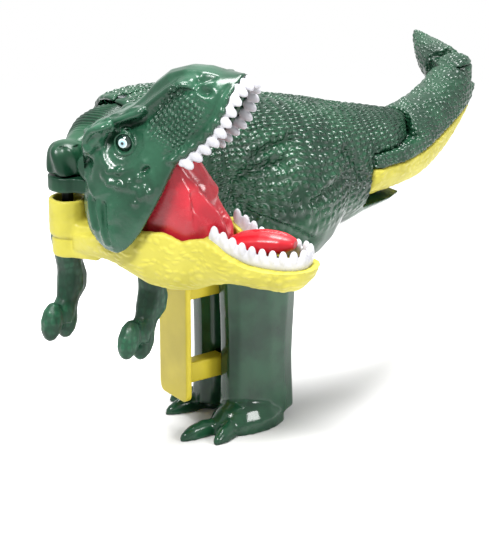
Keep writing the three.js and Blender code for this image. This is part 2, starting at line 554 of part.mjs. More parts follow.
function upperHead() {
  const under = edgeCut(head, headShares, 3, -head.height * 2);
  const outside = jawForm(head, headShares, { below: head.drop, above: 0 }, 0);
  const inside = jawForm(head, headShares, { below: head.drop, above: 0 }, fit.wall);
  const palateFront = place(head, 0.4);
  const hollowTo = head.base + head.height * 0.42;
  const behindPalate = block([-head.halfWidth, head.halfWidth], [-palateFront, head.length], [-head.height, head.height]);
  const underPalate = block([-head.halfWidth, head.halfWidth], [-head.length, head.length], [-head.height, bite.palateZ]);
  const biteRoom = jawForm(head, headShares, { below: head.drop, above: 0 }, bite.hollowInset).intersect(underPalate);
  const rearMouth = inside.intersect(block([-head.halfWidth, head.halfWidth],
    [-palateFront - fit.wall, head.length], [-head.height, hollowTo]));
  const socket = [-1, 1].map((side) => ball(eyePlace(side), Array(3).fill(eye.radius + fit.clearance), 10, 6));
  const brows = [-1, 1].map((side) => {
    const ridge = new THREE.SphereGeometry(1, 10, 6).scale(brow.halfWidth, brow.halfLength, brow.halfHeight)
      .rotateX(degrees(brow.tilt)).rotateZ(side * degrees(brow.toe));
    return solid(ridge, new THREE.Matrix4().makeTranslation(
      side * head.halfWidth * brow.aside, -place(head, brow.along), head.base + head.height * brow.up));
  });
  const pins = axle(0, 0, jawHinge.pinRadius + fit.clearance, [-head.halfWidth * 2, head.halfWidth * 2]);
  const slotFront = block([-notch.halfWidth, notch.halfWidth], [-notch.front, head.length],
    [-head.height * 2, head.height * 2]);
  const jawGate = jaw.halfWidth + fit.clearance;
  const earRoom = axle(0, 0, ring.earRadius + fit.clearance, [-jawGate, jawGate]);
  const jawRoom = block([-jawGate, jawGate], [0, head.length], [-head.height * 2, notch.gateTopZ]);
  return piece('upper_head', 'green', cut(joined([outside, ...brows]), [
    under, inside.intersect(behindPalate), biteRoom, rearMouth, ...socket, pins, slotFront, jawRoom, earRoom,
  ]));
}

function eyePlace(side) {
  const [, half, top, bottom] = rowAt(headShares, (eye.along - head.rear) / head.length);
  const high = head.base + top * head.height;
  const low = head.base + bottom * head.height - head.drop;
  const off = Math.abs(eye.up - (high + low) / 2) / ((high - low) / 2);
  const surface = half * head.halfWidth * (1 - off ** head.power) ** (1 / head.power);
  return [side * (surface - eye.sink), -eye.along, eye.up];
}

function eyeBalls() {
  return [['left_eye', 1], ['right_eye', -1]].map(([name, side]) => piece(name, 'eye',
    ball(eyePlace(side), Array(3).fill(eye.radius), 10, 6)));
}

// The inside line of a jaw's edge, from the rear of one side round the front to the other side.
function archLine(form, rows, column, inset) {
  const side = [];
  for (let along = teeth.from; along < place(form, 1) - inset; along += teeth.spacing / 2) {
    const row = rowAt(rows, (along - form.rear) / form.length);
    const half = row[1] * form.halfWidth - inset;
    if (half > teeth.radius) side.push(new THREE.Vector3(-half, -along, form.base + row[column] * form.height));
  }
  const other = side.map((p) => new THREE.Vector3(-p.x, p.y, p.z)).reverse();
  return new THREE.CatmullRomCurve3([...side, ...other]);
}

// A white band along a jaw's edge with its row of rounded teeth.
function teethRow(name, form, rows, column, toward, inset) {
  const line = archLine(form, rows, column, inset);
  const total = line.getLength();
  const bandSteps = Math.round(total / teeth.spacing);
  const rings = Array.from({ length: bandSteps + 1 }, (_, i) => {
    const at = line.getPointAt(i / bandSteps);
    const run = line.getTangentAt(i / bandSteps).setZ(0).normalize();
    const across = new THREE.Vector3(-run.y, run.x, 0);
    const near = toward * teeth.seat;
    const far = toward * (teeth.seat + teeth.bandHeight);
    return [[-1, near], [1, near], [1, far], [-1, far]].map(([s, z]) => at.clone()
      .addScaledVector(across, (s * teeth.bandThickness) / 2).addScaledVector(upZ, z));
  });
  const crowns = [];
  const count = Math.floor(total / teeth.spacing);
  for (let i = 0; i < count; i += 1) {
    const at = line.getPointAt((i + 0.5) / count);
    const root = at.z + toward * (teeth.seat + teeth.bandHeight * 0.8);
    const run = line.getTangentAt((i + 0.5) / count);
    const crown = new THREE.SphereGeometry(1, 5, 3).rotateX(Math.PI / 2).scale(teeth.radius, teeth.depth, teeth.length)
      .rotateZ(Math.atan2(run.y, run.x));
    crowns.push(solid(crown, new THREE.Matrix4().makeTranslation(at.x, at.y, root)));
  }
  const lid = teeth.length * 2;
  const rim = rings.map((ring4) => [ring4[0], ring4[1],
    ring4[1].clone().addScaledVector(upZ, -toward * lid), ring4[0].clone().addScaledVector(upZ, -toward * lid)]);
  const wide = rim.map(([a, b, c, d]) => {
    const out = b.clone().sub(a).normalize().multiplyScalar(teeth.radius * 2);
    return [a.clone().sub(out), b.clone().add(out), c.clone().add(out), d.clone().sub(out)];
  });
  return piece(name, 'white', joined([solid(throughRings(rings)), ...crowns]).subtract(solid(throughRings(wide))));
}

function lowerJaw() {
  const outside = jawForm(jaw, jawShares, { below: 0, above: jaw.rise }, 0);
  const over = edgeCut(jaw, jawShares, 2, jaw.height * 3);
  const span = (from, to, low) => block([-jaw.halfWidth, jaw.halfWidth], [-to, -from], [low, jaw.height * 2]);
  const inside = jawForm(jaw, jawShares, { below: 0, above: jaw.rise }, jaw.skin)
    .intersect(span(place(jaw, 0.14), jaw.rimFrom, -jaw.height * 2));
  const trough = jawForm(jaw, jawShares, { below: jaw.rim - jaw.skin, above: jaw.rise }, jaw.rim)
    .intersect(span(jaw.rimFrom - fit.overrun, jaw.length, jaw.base + jaw.skin));
  const down = -jawHinge.z;
  const loop = joined([
    post(0, jawHinge.reach, ring.radius, [ring.baseZ + down, ring.topZ + down]),
    block([-ring.radius * 0.8, ring.radius * 0.8], [-place(jaw, 0.12), jawHinge.reach], [ring.baseZ + down, ring.topZ + down - ring.boreDepth]),
    post(0, jawHinge.reach, ring.radius * 0.86, [headPin.footZ + down - fit.wall / 2, ring.baseZ + down - fit.wall / 4]),
    post(0, jawHinge.reach, ring.radius * 0.7, [headPin.footZ + down, ring.baseZ + down + fit.wall]),
    block([-ring.radius * 0.7, ring.radius * 0.7], [-place(jaw, 0.1), jawHinge.reach], [headPin.footZ + down - fit.wall / 2, ring.baseZ + down - fit.wall / 4]),
  ]);
  const ears = joined([-1, 1].map((side) => {
    const x = side * (jaw.halfWidth - jaw.skin);
    const across = [x - jaw.skin / 2, x + jaw.skin / 2];
    return axle(0, 0, ring.earRadius, across).add(block(across, [-ring.stemHalf, ring.stemHalf], [-ring.earRadius * 3, 0]));
  }));
  return piece('lower_jaw', 'yellow', cut(joined([cut(outside, [over, inside, trough]), loop, ears]), [
    post(0, jawHinge.reach, ring.boreRadius, [ring.topZ + down - ring.boreDepth, ring.topZ + down + fit.overrun]),
    post(0, jawHinge.reach, pin.radius + fit.clearance, [headPin.footZ + down - fit.clearance, ring.topZ + down]),
    axle(0, 0, jawHinge.pinRadius + fit.clearance, [-jaw.halfWidth * 2, jaw.halfWidth * 2]),
  ]));
}

// The carrier: a ring on the head's hinge, an arm and the cross-bar that the jaws are pinned to.
function headCarrier() {
  const down = -jawHinge.z;
  const barHalf = jaw.halfWidth - jaw.skin * 1.5 - fit.clearance;
  return piece('head_carrier', 'green', cut(joined([
    post(0, jawHinge.reach, ring.radius, [ring.carrierBaseZ + down, ring.carrierTopZ + down]),
    block([-carrier.halfWidth, carrier.halfWidth], [-carrier.barRadius, jawHinge.reach], [ring.carrierBaseZ + down, ring.carrierTopZ + down]),
    block([-carrier.halfWidth, carrier.halfWidth], [-carrier.barRadius, carrier.barRadius], [0, ring.carrierTopZ + down]),
    axle(0, 0, carrier.barRadius, [-barHalf, barHalf]),
  ]), [
    post(0, jawHinge.reach, pin.radius + fit.clearance, [-fit.overrun, ring.carrierTopZ]),
    ...[-1, 1].map((side) => axle(0, 0, jawHinge.pinRadius + fit.clearance,
      side > 0 ? [jawHinge.pinFrom - fit.clearance, jaw.halfWidth] : [-jaw.halfWidth, -jawHinge.pinFrom + fit.clearance])),
  ]));
}

function jawPins() {
  return [['jaw_pin_left', 1], ['jaw_pin_right', -1]].map(([name, side]) => {
    const ends = [side * jawHinge.pinFrom, side * (head.halfWidth - fit.clearance)].sort((a, b) => a - b);
    return piece(name, 'steel', axle(0, 0, jawHinge.pinRadius, ends));
  });
}

const lickShares = smoothed([
  [0, 0.7, 0.34, 0], [0.2, 0.95, 0.5, 0], [0.36, 1, 0.84, 0.02], [0.6, 0.98, 1, 0.12], [0.85, 0.8, 0.96, 0.3], [1, 0.4, 0.8, 0.5],
], 2);

function tongueOfMouth() {
  const form = { ...lick, from: -lick.from, toward: -1, baseZ: lick.baseZ };
  const grooveForm = { ...form, halfWidth: lick.halfWidth * lick.grooveHalf, baseZ: lick.baseZ + lick.height * lick.grooveAt };
  const groove = lying(grooveForm, [[0.1, 1, 0.6, 0], [0.9, 1, 0.6, 0]], 12);
  return piece('mouth_tongue', 'red', lying(form, lickShares, 14).subtract(groove));
}

// The red film in the corners of the mouth: a thin sheet from the upper jaw to the lower, with its folds.
function mouthMembrane() {
  const rows = 7;
  const columns = 18;
  const sheet = (offset) => Array.from({ length: rows + 1 }, (_, j) => {
    const v = j / rows;
    const z = THREE.MathUtils.lerp(mouth.topZ, mouth.baseZ, v);
    const front = THREE.MathUtils.lerp(mouth.topFront, mouth.baseFront, v ** mouth.lean) + mouth.swell * Math.sin(Math.PI * v);
    const half = mouth.halfWidth * (1 - mouth.narrowing * v * v) - offset;
    return Array.from({ length: columns + 1 }, (_, i) => {
      const u = (i / columns) * 2 - 1;
      const turn = (u * Math.PI) / 2;
      const wave = Math.sin(mouth.creases * turn + mouth.slant * v);
      const crease = mouth.crease * wave * Math.sin(Math.PI * v) * Math.cos(turn);
      const round = (value, power) => Math.sign(value) * Math.abs(value) ** power;
      const x = half * round(Math.sin(turn), mouth.squareness);
      const forward = mouth.rear + (front - mouth.rear - offset + crease) * Math.abs(Math.cos(turn)) ** mouth.squareness;
      return new THREE.Vector3(x, -forward, z);
    });
  });
  const outer = sheet(0);
  const inner = sheet(mouth.thickness);
  const rings = outer.map((line, j) => [...line, ...inner[j].slice().reverse()]);
  return piece('mouth_membrane', 'red', solid(throughRings(rings, true)));
}

// The tail's middle line from its hinge, bending to the figure's right, and its shape:
// [along, half width, top, bottom, top of the belly].
const tailShares = smoothed([
  [-0.43, 0.93, 0.7, 0.1, 0.385], [-0.17, 0.98, 0.7, 0.1, 0.385], [0, 0.94, 0.7, 0.1, 0.385], [0.2, 0.82, 0.7, 0.1, 0.4],
  [0.4, 0.69, 0.735, 0.155, 0.445], [0.6, 0.6, 0.79, 0.25, 0.5], [0.8, 0.54, 0.865, 0.375, 0.545], [0.92, 0.5, 0.92, 0.45, 0.565],
  [1, 0.47, 0.945, 0.52, 0.59], [1.07, 0.4, 0.93, 0.57, 0.615], [1.135, 0.2, 0.88, 0.64, 0.66],
], 2);

function tailStation(share) {
  const steps = 24;
  const at = new THREE.Vector3(0, 0, 0);
  const heading = (s) => degrees(tail.bend) * Math.max(s, 0) ** tail.bendPower;
  for (let i = 0; i < steps; i += 1) {
    const h = heading((share * (i + 0.5)) / steps);
    const step = (share * tailHinge.reach) / steps;
    at.add(new THREE.Vector3(-Math.sin(h) * step, Math.cos(h) * step, 0));
  }
  const h = heading(share);
  return { at, h, across: new THREE.Vector3(Math.cos(h), Math.sin(h), 0) };
}

function tailForm(box) {
  return solid(throughRings(tailShares.map(([share, half, top, bottom, belly]) => {
    const { at, across } = tailStation(share);
    const level = (value) => tail.baseZ + value * tail.height;
    if (!box) {
      at.z = (level(top) + level(bottom)) / 2;
      return ovalRing(at, across, upZ, half * tail.halfWidth, (level(top) - level(bottom)) / 2, tail.power, 18);
    }
    const reach = tail.halfWidth + fit.overrun;
    return [[-1, -fit.overrun * 2], [1, -fit.overrun * 2], [1, level(belly) + box - tail.baseZ], [-1, level(belly) + box - tail.baseZ]]
      .map(([s, z]) => at.clone().addScaledVector(across, s * reach).setZ(tail.baseZ + z));
  })));
}

function tailBase() {
  const wide = tail.halfWidth * 2;
  const under = tongue.underZ - fit.clearance;
  const clear = fit.clearance;
  const wedge = degrees(tail.wedge);
  const end = tailStation(1).at;
  const high = tail.baseZ + tail.height * 2;
  const outside = tailForm(0);
  const cuts = [
    slab([[-wide, -wide], [wide, -wide], [wide, wide / Math.tan(wedge)], [0, 0], [-wide, wide / Math.tan(wedge)]],
      [under, high]),
    post(0, 0, tongue.tipRadius + clear * 2, [under, high], 32),
    post(0, 0, pin.radius + clear, [0, high]),
    // room for the drive bar's rear end and its peg
    block([bar.x - bar.halfWidth - fit.overrun, -pin.radius * 2], [-tongue.tipRadius, tongue.tipRadius * 0.8],
      [bar.rearZ - clear, bar.rearZ + bar.thickness + clear]),
    slab([[-wide, -wide], [wide * 0.32, -wide], [-pin.radius * 0.6, -tongue.tipRadius * 0.66], [-wide, -tongue.tipRadius * 0.66]],
      [bar.rearZ - clear, bar.rearZ + bar.thickness + clear]),
    pegSlot(degrees(rest.tailTurn * -1 + swing.tail / 2), [bar.rearZ, bar.rearZ + bar.thickness + bar.pegHeight + clear]),
    // the fork for the tip
    post(end.x, end.y, tail.knuckle + tip.gap, [tip.z - tip.tongueHeight / 2 - clear, tip.z + tip.tongueHeight / 2 + clear], 28),
    post(end.x, end.y, pin.radius + clear, [tipPin.footZ - clear, tipPin.topZ + clear]),
  ];
  const round = joined([post(0, 0, tongue.pocketRadius, [0, high], 40),
    block([-wide * 2, wide * 2], [0, wide * 3], [0, high])]);
  const shaped = cut(outside.intersect(round), cuts);
  return [
    piece('tail_base', 'green', largest(shaped.subtract(tailForm(fit.clearance)))),
    piece('tail_belly', 'yellow', largest(shaped.intersect(tailForm(fit.touch)))),
  ];
}

const tipShares = smoothed([
  [0, 1, 1, 0], [0.2, 0.96, 0.96, 0.06], [0.42, 0.8, 0.82, 0.2], [0.66, 0.56, 0.6, 0.42], [0.86, 0.32, 0.36, 0.66], [1, 0.1, 0.14, 0.84],
], 2);

function tailTip() {
  const start = tail.knuckle + tip.gap + fit.clearance;
  const shape = solid(throughRings(tipShares.map(([along, half, high, rise]) => ovalRing(
    new THREE.Vector3(0, start + along * (tip.length - start), tip.z + rise * tip.rise),
    acrossX, upZ, half * tip.halfWidth, high * tip.halfHeight, 2.2, 12))));
  const z = [tip.z - tip.tongueHeight / 2, tip.z + tip.tongueHeight / 2];
  const tab = joined([post(0, 0, tip.tongueRadius, z), block([-tip.tongueRadius * 0.8, tip.tongueRadius * 0.8], [0, start + fit.wall], z)]);
  return piece('tail_tip', 'green', joined([shape, tab]).subtract(post(0, 0, pin.radius + fit.clearance, [0, tip.z * 2])));
}

function triggerPlate() {
  const { y, thickness, halfWidth, baseZ, topZ, webHalf, webRearY, corner } = trigger;
  const outline = new THREE.Shape();
  outline.moveTo(-halfWidth + corner, baseZ).lineTo(halfWidth - corner, baseZ).quadraticCurveTo(halfWidth, baseZ, halfWidth, baseZ + corner)
    .lineTo(halfWidth, topZ - corner).quadraticCurveTo(halfWidth, topZ, halfWidth - corner, topZ)
    .lineTo(-halfWidth + corner, topZ).quadraticCurveTo(-halfWidth, topZ, -halfWidth, topZ - corner)
    .lineTo(-halfWidth, baseZ + corner).quadraticCurveTo(-halfWidth, baseZ, -halfWidth + corner, baseZ);
  const plate = solid(new THREE.ExtrudeGeometry(outline, { depth: thickness, bevelEnabled: false, curveSegments: 4 }).rotateX(Math.PI / 2),
    new THREE.Matrix4().makeTranslation(0, y + thickness, 0));
  const back = y + thickness / 2;
  return piece('trigger', 'yellow', joined([plate,
    block([-webHalf, webHalf], [back, webRearY], [web.baseZ, web.topZ]),
    block([-webHalf, webHalf], [back, web.finRearY], [web.finBaseZ, web.finTopZ])]));
}

function driveBar() {
  const x = [bar.x - bar.halfWidth, bar.x + bar.halfWidth];
  const neckPegY = neckY + pegLead;
  const tailPegY = tailY + pegLead;
  const tall = bar.frontZ + bar.thickness;
  return piece('drive_bar', 'grey', joined([
    block(x, [neckPegY - bar.halfWidth, bar.postRearY], [bar.frontZ, tall]),
    block(x, [bar.postFrontY, tailPegY + bar.halfWidth], [bar.rearZ, bar.rearZ + bar.thickness]),
    block(x, [bar.postFrontY, bar.postRearY], [bar.footZ, tall]),
    block([x[0], trigger.webHalf], [bar.postFrontY, bar.postRearY], [bar.footZ, bar.footZ + bar.thickness]),
    post(bar.x, neckPegY, bar.pegRadius, [bar.frontZ, tall + bar.pegHeight]),
    post(bar.x, tailPegY, bar.pegRadius, [bar.rearZ, bar.rearZ + bar.thickness + bar.pegHeight]),
  ]));
}

// The spring that pushes the trigger back out, a coil lying along Y.
function triggerSpring() {
  const from = trigger.webRearY + fit.clearance + coil.wire;
  const steps = coil.turns * coil.stepsPerTurn;
  const points = Array.from({ length: steps + 1 }, (_, i) => {
    const angle = (2 * Math.PI * i) / coil.stepsPerTurn;
    return new THREE.Vector3(coil.radius * Math.cos(angle), THREE.MathUtils.lerp(from, coil.rearY, i / steps),
      coil.z + coil.radius * Math.sin(angle));
  });
  const rings = points.map((p, i) => {
    const angle = (2 * Math.PI * i) / coil.stepsPerTurn;
    const out = new THREE.Vector3(Math.cos(angle), 0, Math.sin(angle));
    return ovalRing(p, out, new THREE.Vector3(0, 1, 0), coil.wire, coil.wire, 2, 4);
  });
  return piece('trigger_spring', 'steel', solid(throughRings(rings)));
}

// Moving groups, each hung from the hinge that carries it.
const headGroup = group([0, 0, 0], [-degrees(rest.mouthOpen), 0, 0], [
  upperHead(), teethRow('upper_teeth', head, headShares, 3, -1, bite.upperInset), ...eyeBalls(),
]);
const jawGroup = group([0, -jawHinge.reach, jawHinge.z], [0, 0, 0], [
  lowerJaw(), teethRow('lower_teeth', jaw, jawShares, 2, 1, bite.lowerInset), tongueOfMouth(), mouthMembrane(), headCarrier(), ...jawPins(),
  headGroup,
]);
const headTurned = group([0, -neckHinge.reach, 0], [0, 0, degrees(rest.headTurn)], [jawGroup]);
const armX = yoke.halfWidth + fit.clearance + arm.thickness / 2;
const shoulderZ = (yoke.baseZ + yoke.topZ) / 2;
const neckGroup = group([0, neckY, 0], [0, 0, degrees(rest.neckTurn)], [
  neckLink(),
  uprightPin('head_pin', 0, -neckHinge.reach, [headPin.footZ, headPin.topZ], false),
  group([armX, yoke.y, shoulderZ], [-degrees(rest.leftArmSwing), 0, 0], [dinoArm('left_arm', 1)]),
  group([-armX, yoke.y, shoulderZ], [-degrees(rest.rightArmSwing), 0, 0], [dinoArm('right_arm', -1)]),
  headTurned,
]);
const tipAt = tailStation(1);
const tailGroup = group([0, tailY, 0], [0, 0, degrees(rest.tailTurn)], [
  ...tailBase(),
  uprightPin('tip_pin', tipAt.at.x, tipAt.at.y, [tipPin.footZ, tipPin.topZ], false),
  group([tipAt.at.x, tipAt.at.y, 0], [0, 0, tipAt.h + degrees(rest.tipTurn)], [tailTip()]),
]);
const figure = group([0, 0, 0], [0, 0, 0], [
  ...bodyShells(), ...screws(), chestBracket(),
  uprightPin('neck_pin', 0, neckY, [neckHinge.footZ, neckHinge.roofZ], true),
  uprightPin('tail_pin', 0, tailY, [tailHinge.footZ, tailHinge.topZ], false),
  neckGroup, tailGroup, triggerPlate(), driveBar(), triggerSpring(),
]);

// The origin is the middle of the figure's box, at its soles.
const box = new THREE.Box3().setFromObject(figure, true);
const middle = box.getCenter(new THREE.Vector3());
figure.position.set(-middle.x, -middle.y, -box.min.z);
const dinosaur = new THREE.Group();
dinosaur.name = 'toy_dinosaur';
dinosaur.add(figure);
dinosaur.updateMatrixWorld(true);

export default dinosaur;
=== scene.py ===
"""A squeeze-trigger toy dinosaur, dressed for its portrait.

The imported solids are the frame. Each moulded solid is recast as one smooth skin with its creases,
ridges and embossed scales. The teeth, the eyes and the film of the mouth are modelled afresh.
"""
import json
import logging
import math
from dataclasses import dataclass, field
from enum import Enum
from typing import Callable, Mapping, Optional, Sequence

import bmesh
import bpy
import numpy as np
from mathutils import Matrix, Vector, noise
from mathutils.bvhtree import BVHTree


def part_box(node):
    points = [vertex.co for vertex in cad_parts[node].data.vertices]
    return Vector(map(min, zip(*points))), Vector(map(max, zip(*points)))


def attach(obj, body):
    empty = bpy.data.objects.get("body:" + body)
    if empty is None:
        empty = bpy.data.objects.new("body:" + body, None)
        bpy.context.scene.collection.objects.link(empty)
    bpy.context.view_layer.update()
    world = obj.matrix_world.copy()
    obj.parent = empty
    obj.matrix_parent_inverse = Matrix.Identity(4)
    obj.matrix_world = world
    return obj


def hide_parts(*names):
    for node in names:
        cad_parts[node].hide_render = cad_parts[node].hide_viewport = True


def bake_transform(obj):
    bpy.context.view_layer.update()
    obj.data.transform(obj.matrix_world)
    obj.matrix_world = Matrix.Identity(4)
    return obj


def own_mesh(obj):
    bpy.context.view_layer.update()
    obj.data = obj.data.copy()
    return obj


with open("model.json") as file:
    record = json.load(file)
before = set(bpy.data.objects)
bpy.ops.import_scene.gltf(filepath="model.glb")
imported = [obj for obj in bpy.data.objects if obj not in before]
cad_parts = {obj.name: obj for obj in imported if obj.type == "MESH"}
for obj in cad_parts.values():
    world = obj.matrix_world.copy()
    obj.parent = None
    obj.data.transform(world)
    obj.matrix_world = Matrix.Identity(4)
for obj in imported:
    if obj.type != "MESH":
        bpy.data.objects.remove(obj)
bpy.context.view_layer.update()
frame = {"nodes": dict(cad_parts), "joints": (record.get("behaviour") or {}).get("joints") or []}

LOG = logging.getLogger("dinosaur")
MM = 0.001
SLICE = 0.2  # where a pattern laid flat cuts through its cells, as a share of a cell
WELD = 1e-6  # points closer than this, in metres, are one
TINY = 1e-9  # keeps a division off zero

Span = tuple[float, float]
Triple = tuple[float, float, float]
Line = tuple[Span, ...]
Shape = bmesh.types.BMesh
Socket = bpy.types.NodeSocket


def colour(red: int, green: int, blue: int) -> Triple:
    """Turn a screen colour, 0 to 255 a channel, into the linear values that a shader takes."""
    def linear(value: int) -> float:
        """One channel without its screen curve."""
        share = value / 255
        return share / 12.92 if share <= 0.04045 else ((share + 0.055) / 1.055) ** 2.4

    return linear(red), linear(green), linear(blue)


def smooth_share(values: np.ndarray, start: float, end: float) -> np.ndarray:
    """Rise smoothly from 0 where the values are at start to 1 where they reach end."""
    share = np.clip((values - start) / (end - start), 0, 1)
    return share * share * (3 - 2 * share)


def shifted(line: Line, along: float, up: float) -> Line:
    """The same line, moved by millimetres along and up."""
    return tuple((a + along, u + up) for a, u in line)


def arc(middle: Span, radius: float, start: float, end: float, steps: int = 10) -> Line:
    """Points round an arc.

    Args:
        middle: The arc's middle, along and up in millimetres.
        radius: Its radius.
        start: Its first angle in degrees, 0 being forward and 90 up.
        end: Its last angle.
        steps: How many straight runs stand for it.

    Returns:
        The arc's points.
    """
    angles = [math.radians(start + (end - start) * i / steps) for i in range(steps + 1)]
    return tuple((middle[0] + radius * math.cos(a), middle[1] + radius * math.sin(a)) for a in angles)


@dataclass(frozen=True)
class Bearings:
    """The directions of a piece as it is held at rest, seen from its hinge."""

    origin: Vector
    forward: Vector
    left: Vector
    up: Vector

    def place(self, along: float, aside: float, up: float) -> Vector:
        """Turn millimetres along, to the left and up into a point of the row frame."""
        return self.origin + MM * (along * self.forward + aside * self.left + up * self.up)

    def read(self, points: np.ndarray) -> np.ndarray:
        """Turn rows of metres in the row frame into millimetres along, to the left and up."""
        turned = np.array([self.forward, self.left, self.up]).T
        return (points - np.array(self.origin)) @ turned / MM


def joint(name: str) -> dict:
    """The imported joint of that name."""
    return next(j for j in frame["joints"] if j["name"] == name)


def hinge_bearings(name: str, left: Sequence[float], pitch: float = 0.0) -> Bearings:
    """Find the bearings of what turns on a joint.

    Args:
        name: The joint at whose place the origin lies.
        left: A level direction to the piece's left.
        pitch: How far forward is raised above level, in degrees.

    Returns:
        The piece's bearings at rest.
    """
    side = Vector(left).normalized()
    level = Vector((side.y, -side.x, 0))
    rise = math.radians(pitch)
    upright = Vector((0, 0, 1))
    forward = math.cos(rise) * level + math.sin(rise) * upright
    up = math.cos(rise) * upright - math.sin(rise) * level
    return Bearings(Vector(joint(name)["pos_m"]), forward, side, up)


MOUTH_OPEN = 56.0
JAW = hinge_bearings("jaw_close", joint("jaw_close")["axis"])
HEAD = hinge_bearings("jaw_close", joint("jaw_close")["axis"], MOUTH_OPEN)
NECK = hinge_bearings("neck_swivel", joint("left_arm_swing")["axis"])
BODY = hinge_bearings("neck_swivel", (1, 0, 0))


class Desk:
    """A node tree and short ways to set nodes on it, the same for shaders and for geometry."""

    def __init__(self, tree: bpy.types.NodeTree) -> None:
        """Keep the tree that the nodes go on."""
        self.tree = tree

    def add(self, kind: str, settings: Optional[dict] = None, **inputs: object) -> bpy.types.Node:
        """Set a node, its options and its inputs.

        Args:
            kind: The node's Blender type.
            settings: Options of the node itself.
            inputs: Values or sockets by input name, with _ for a space.

        Returns:
            The new node.
        """
        node = self.tree.nodes.new(kind)
        for option, value in (settings or {}).items():
            setattr(node, option, value)
        for name, value in inputs.items():
            self.feed(node.inputs[name.replace("_", " ")], value)
        return node

    def feed(self, socket: Socket, value: object) -> None:
        """Link a socket to another, or set its value."""
        if isinstance(value, Socket):
            self.tree.links.new(value, socket)
        else:
            socket.default_value = value

    def maths(self, operation: str, *values: object) -> Socket:
        """Work one step of arithmetic out and give its socket."""
        node = self.add("ShaderNodeMath", {"operation": operation})
        for socket, value in zip(node.inputs, values):
            self.feed(socket, value)
        return node.outputs[0]

    def vectors(self, operation: str, *values: object) -> Socket:
        """Work one step on vectors out and give its socket."""
        node = self.add("ShaderNodeVectorMath", {"operation": operation})
        for slot, value in zip((0, "Scale") if operation == "SCALE" else (0, 1), values):
            self.feed(node.inputs[slot], value)
        return next(o for o in node.outputs if o.enabled)

    def grade(self, value: object, ends: Span, to: Span = (0.0, 1.0)) -> Socket:
        """Grade a value smoothly between two ends."""
        node = self.add("ShaderNodeMapRange", {"interpolation_type": "SMOOTHSTEP"}, Value=value)
        for socket, number in zip(node.inputs[1:5], (*ends, *to)):
            self.feed(socket, number)
        return node.outputs[0]

    def mixed(self, share: object, first: object, second: object) -> Socket:
        """Mix two colours by a share."""
        node = self.add("ShaderNodeMix", {"data_type": "RGBA"})
        for name, value in (("Factor_Float", share), ("A_Color", first), ("B_Color", second)):
            socket = next(s for s in node.inputs if s.identifier == name)
            self.feed(socket, (*value, 1) if isinstance(value, tuple) else value)
        return next(o for o in node.outputs if o.identifier == "Result_Color")


def start_material(name: str) -> tuple[bpy.types.Material, Desk, bpy.types.NodeInputs]:
    """Open a new material, with its desk and the inputs of its shader."""
    made = bpy.data.materials.new(name)
    made.use_nodes = True
    return made, Desk(made.node_tree), made.node_tree.nodes["Principled BSDF"].inputs


def scales_height(desk: Desk, given: Mapping[str, object]) -> Socket:
    """Lay rounded scales over a surface, in rows that wander.

    Args:
        desk: The tree to set the nodes on.
        given: The position in metres and what Relief.inputs names, as sockets or numbers.

    Returns:
        A height from 0 in the grooves to 1 on the scales.
    """
    spot = desk.vectors("SCALE", given["Position"], 1 / MM)
    drift = desk.add("ShaderNodeTexNoise", Vector=spot, Scale=given["Swirl"], Detail=1.0, Roughness=0.4)
    centred = desk.vectors("SUBTRACT", drift.outputs["Color"], (0.5, 0.5, 0.5))
    level = desk.vectors("MULTIPLY", centred, (0.0, 1.0, 1.0))
    moved = desk.vectors("ADD", spot, desk.vectors("SCALE", level, given["Wander"]))
    sized = desk.vectors("DIVIDE", moved, given["Cell"])
    cells = desk.add("ShaderNodeTexVoronoi", {"feature": "F1"}, Vector=sized, Scale=1.0,
                     Randomness=given["Jumble"])
    return desk.grade(cells.outputs["Distance"], (given["Low"], given["High"]), (1.0, 0.0))


def ribs_height(desk: Desk, given: Mapping[str, object]) -> Socket:
    """Lay fine ribs in arcs about an upright pin.

    Args:
        desk: The tree to set the nodes on.
        given: The position in metres and what Relief.inputs names, as sockets or numbers.

    Returns:
        A height from 0 between the ribs to 1 on them.
    """
    offset = desk.vectors("SUBTRACT", given["Position"], given["Middle"])
    level = desk.vectors("MULTIPLY", offset, (1 / MM, 1 / MM, 0.0))
    turns = desk.maths("DIVIDE", desk.vectors("LENGTH", level), given["Pitch"])
    wave = desk.maths("SINE", desk.maths("MULTIPLY", turns, math.tau))
    return desk.maths("MULTIPLY_ADD", wave, 0.5, 0.5)


class Kind(Enum):
    """What is embossed on a moulded surface."""

    PLAIN = "plain"
    SCALES = "scales"
    RIBS = "ribs"


@dataclass(frozen=True)
class Relief:
    """A raised pattern: its cells in millimetres, how they lie, and its height.

    Rows wander by so many millimetres, in so many swirls to a millimetre. A scale falls from low
    to high, as shares of the way to its neighbour. Jumble is how irregular the cells are.
    """

    kind: Kind = Kind.PLAIN
    cell: Triple = (1.0, 1.0, 1.0)
    wander: float = 4.0
    swirl: float = 0.07
    low: float = 0.12
    high: float = 0.62
    depth: float = 0.2
    jumble: float = 0.4
    middle: Triple = (0.0, 0.0, 0.0)

    def inputs(self) -> dict[str, object]:
        """The pattern's values by the names of its inputs."""
        if self.kind is Kind.RIBS:
            return {"Middle": self.middle, "Pitch": self.cell[0]}
        return {"Cell": self.cell, "Wander": self.wander, "Swirl": self.swirl, "Low": self.low,
                "High": self.high, "Jumble": self.jumble}

    def height(self, desk: Desk, given: Mapping[str, object]) -> Socket:
        """The pattern's height, worked out from its inputs."""
        return (ribs_height if self.kind is Kind.RIBS else scales_height)(desk, given)


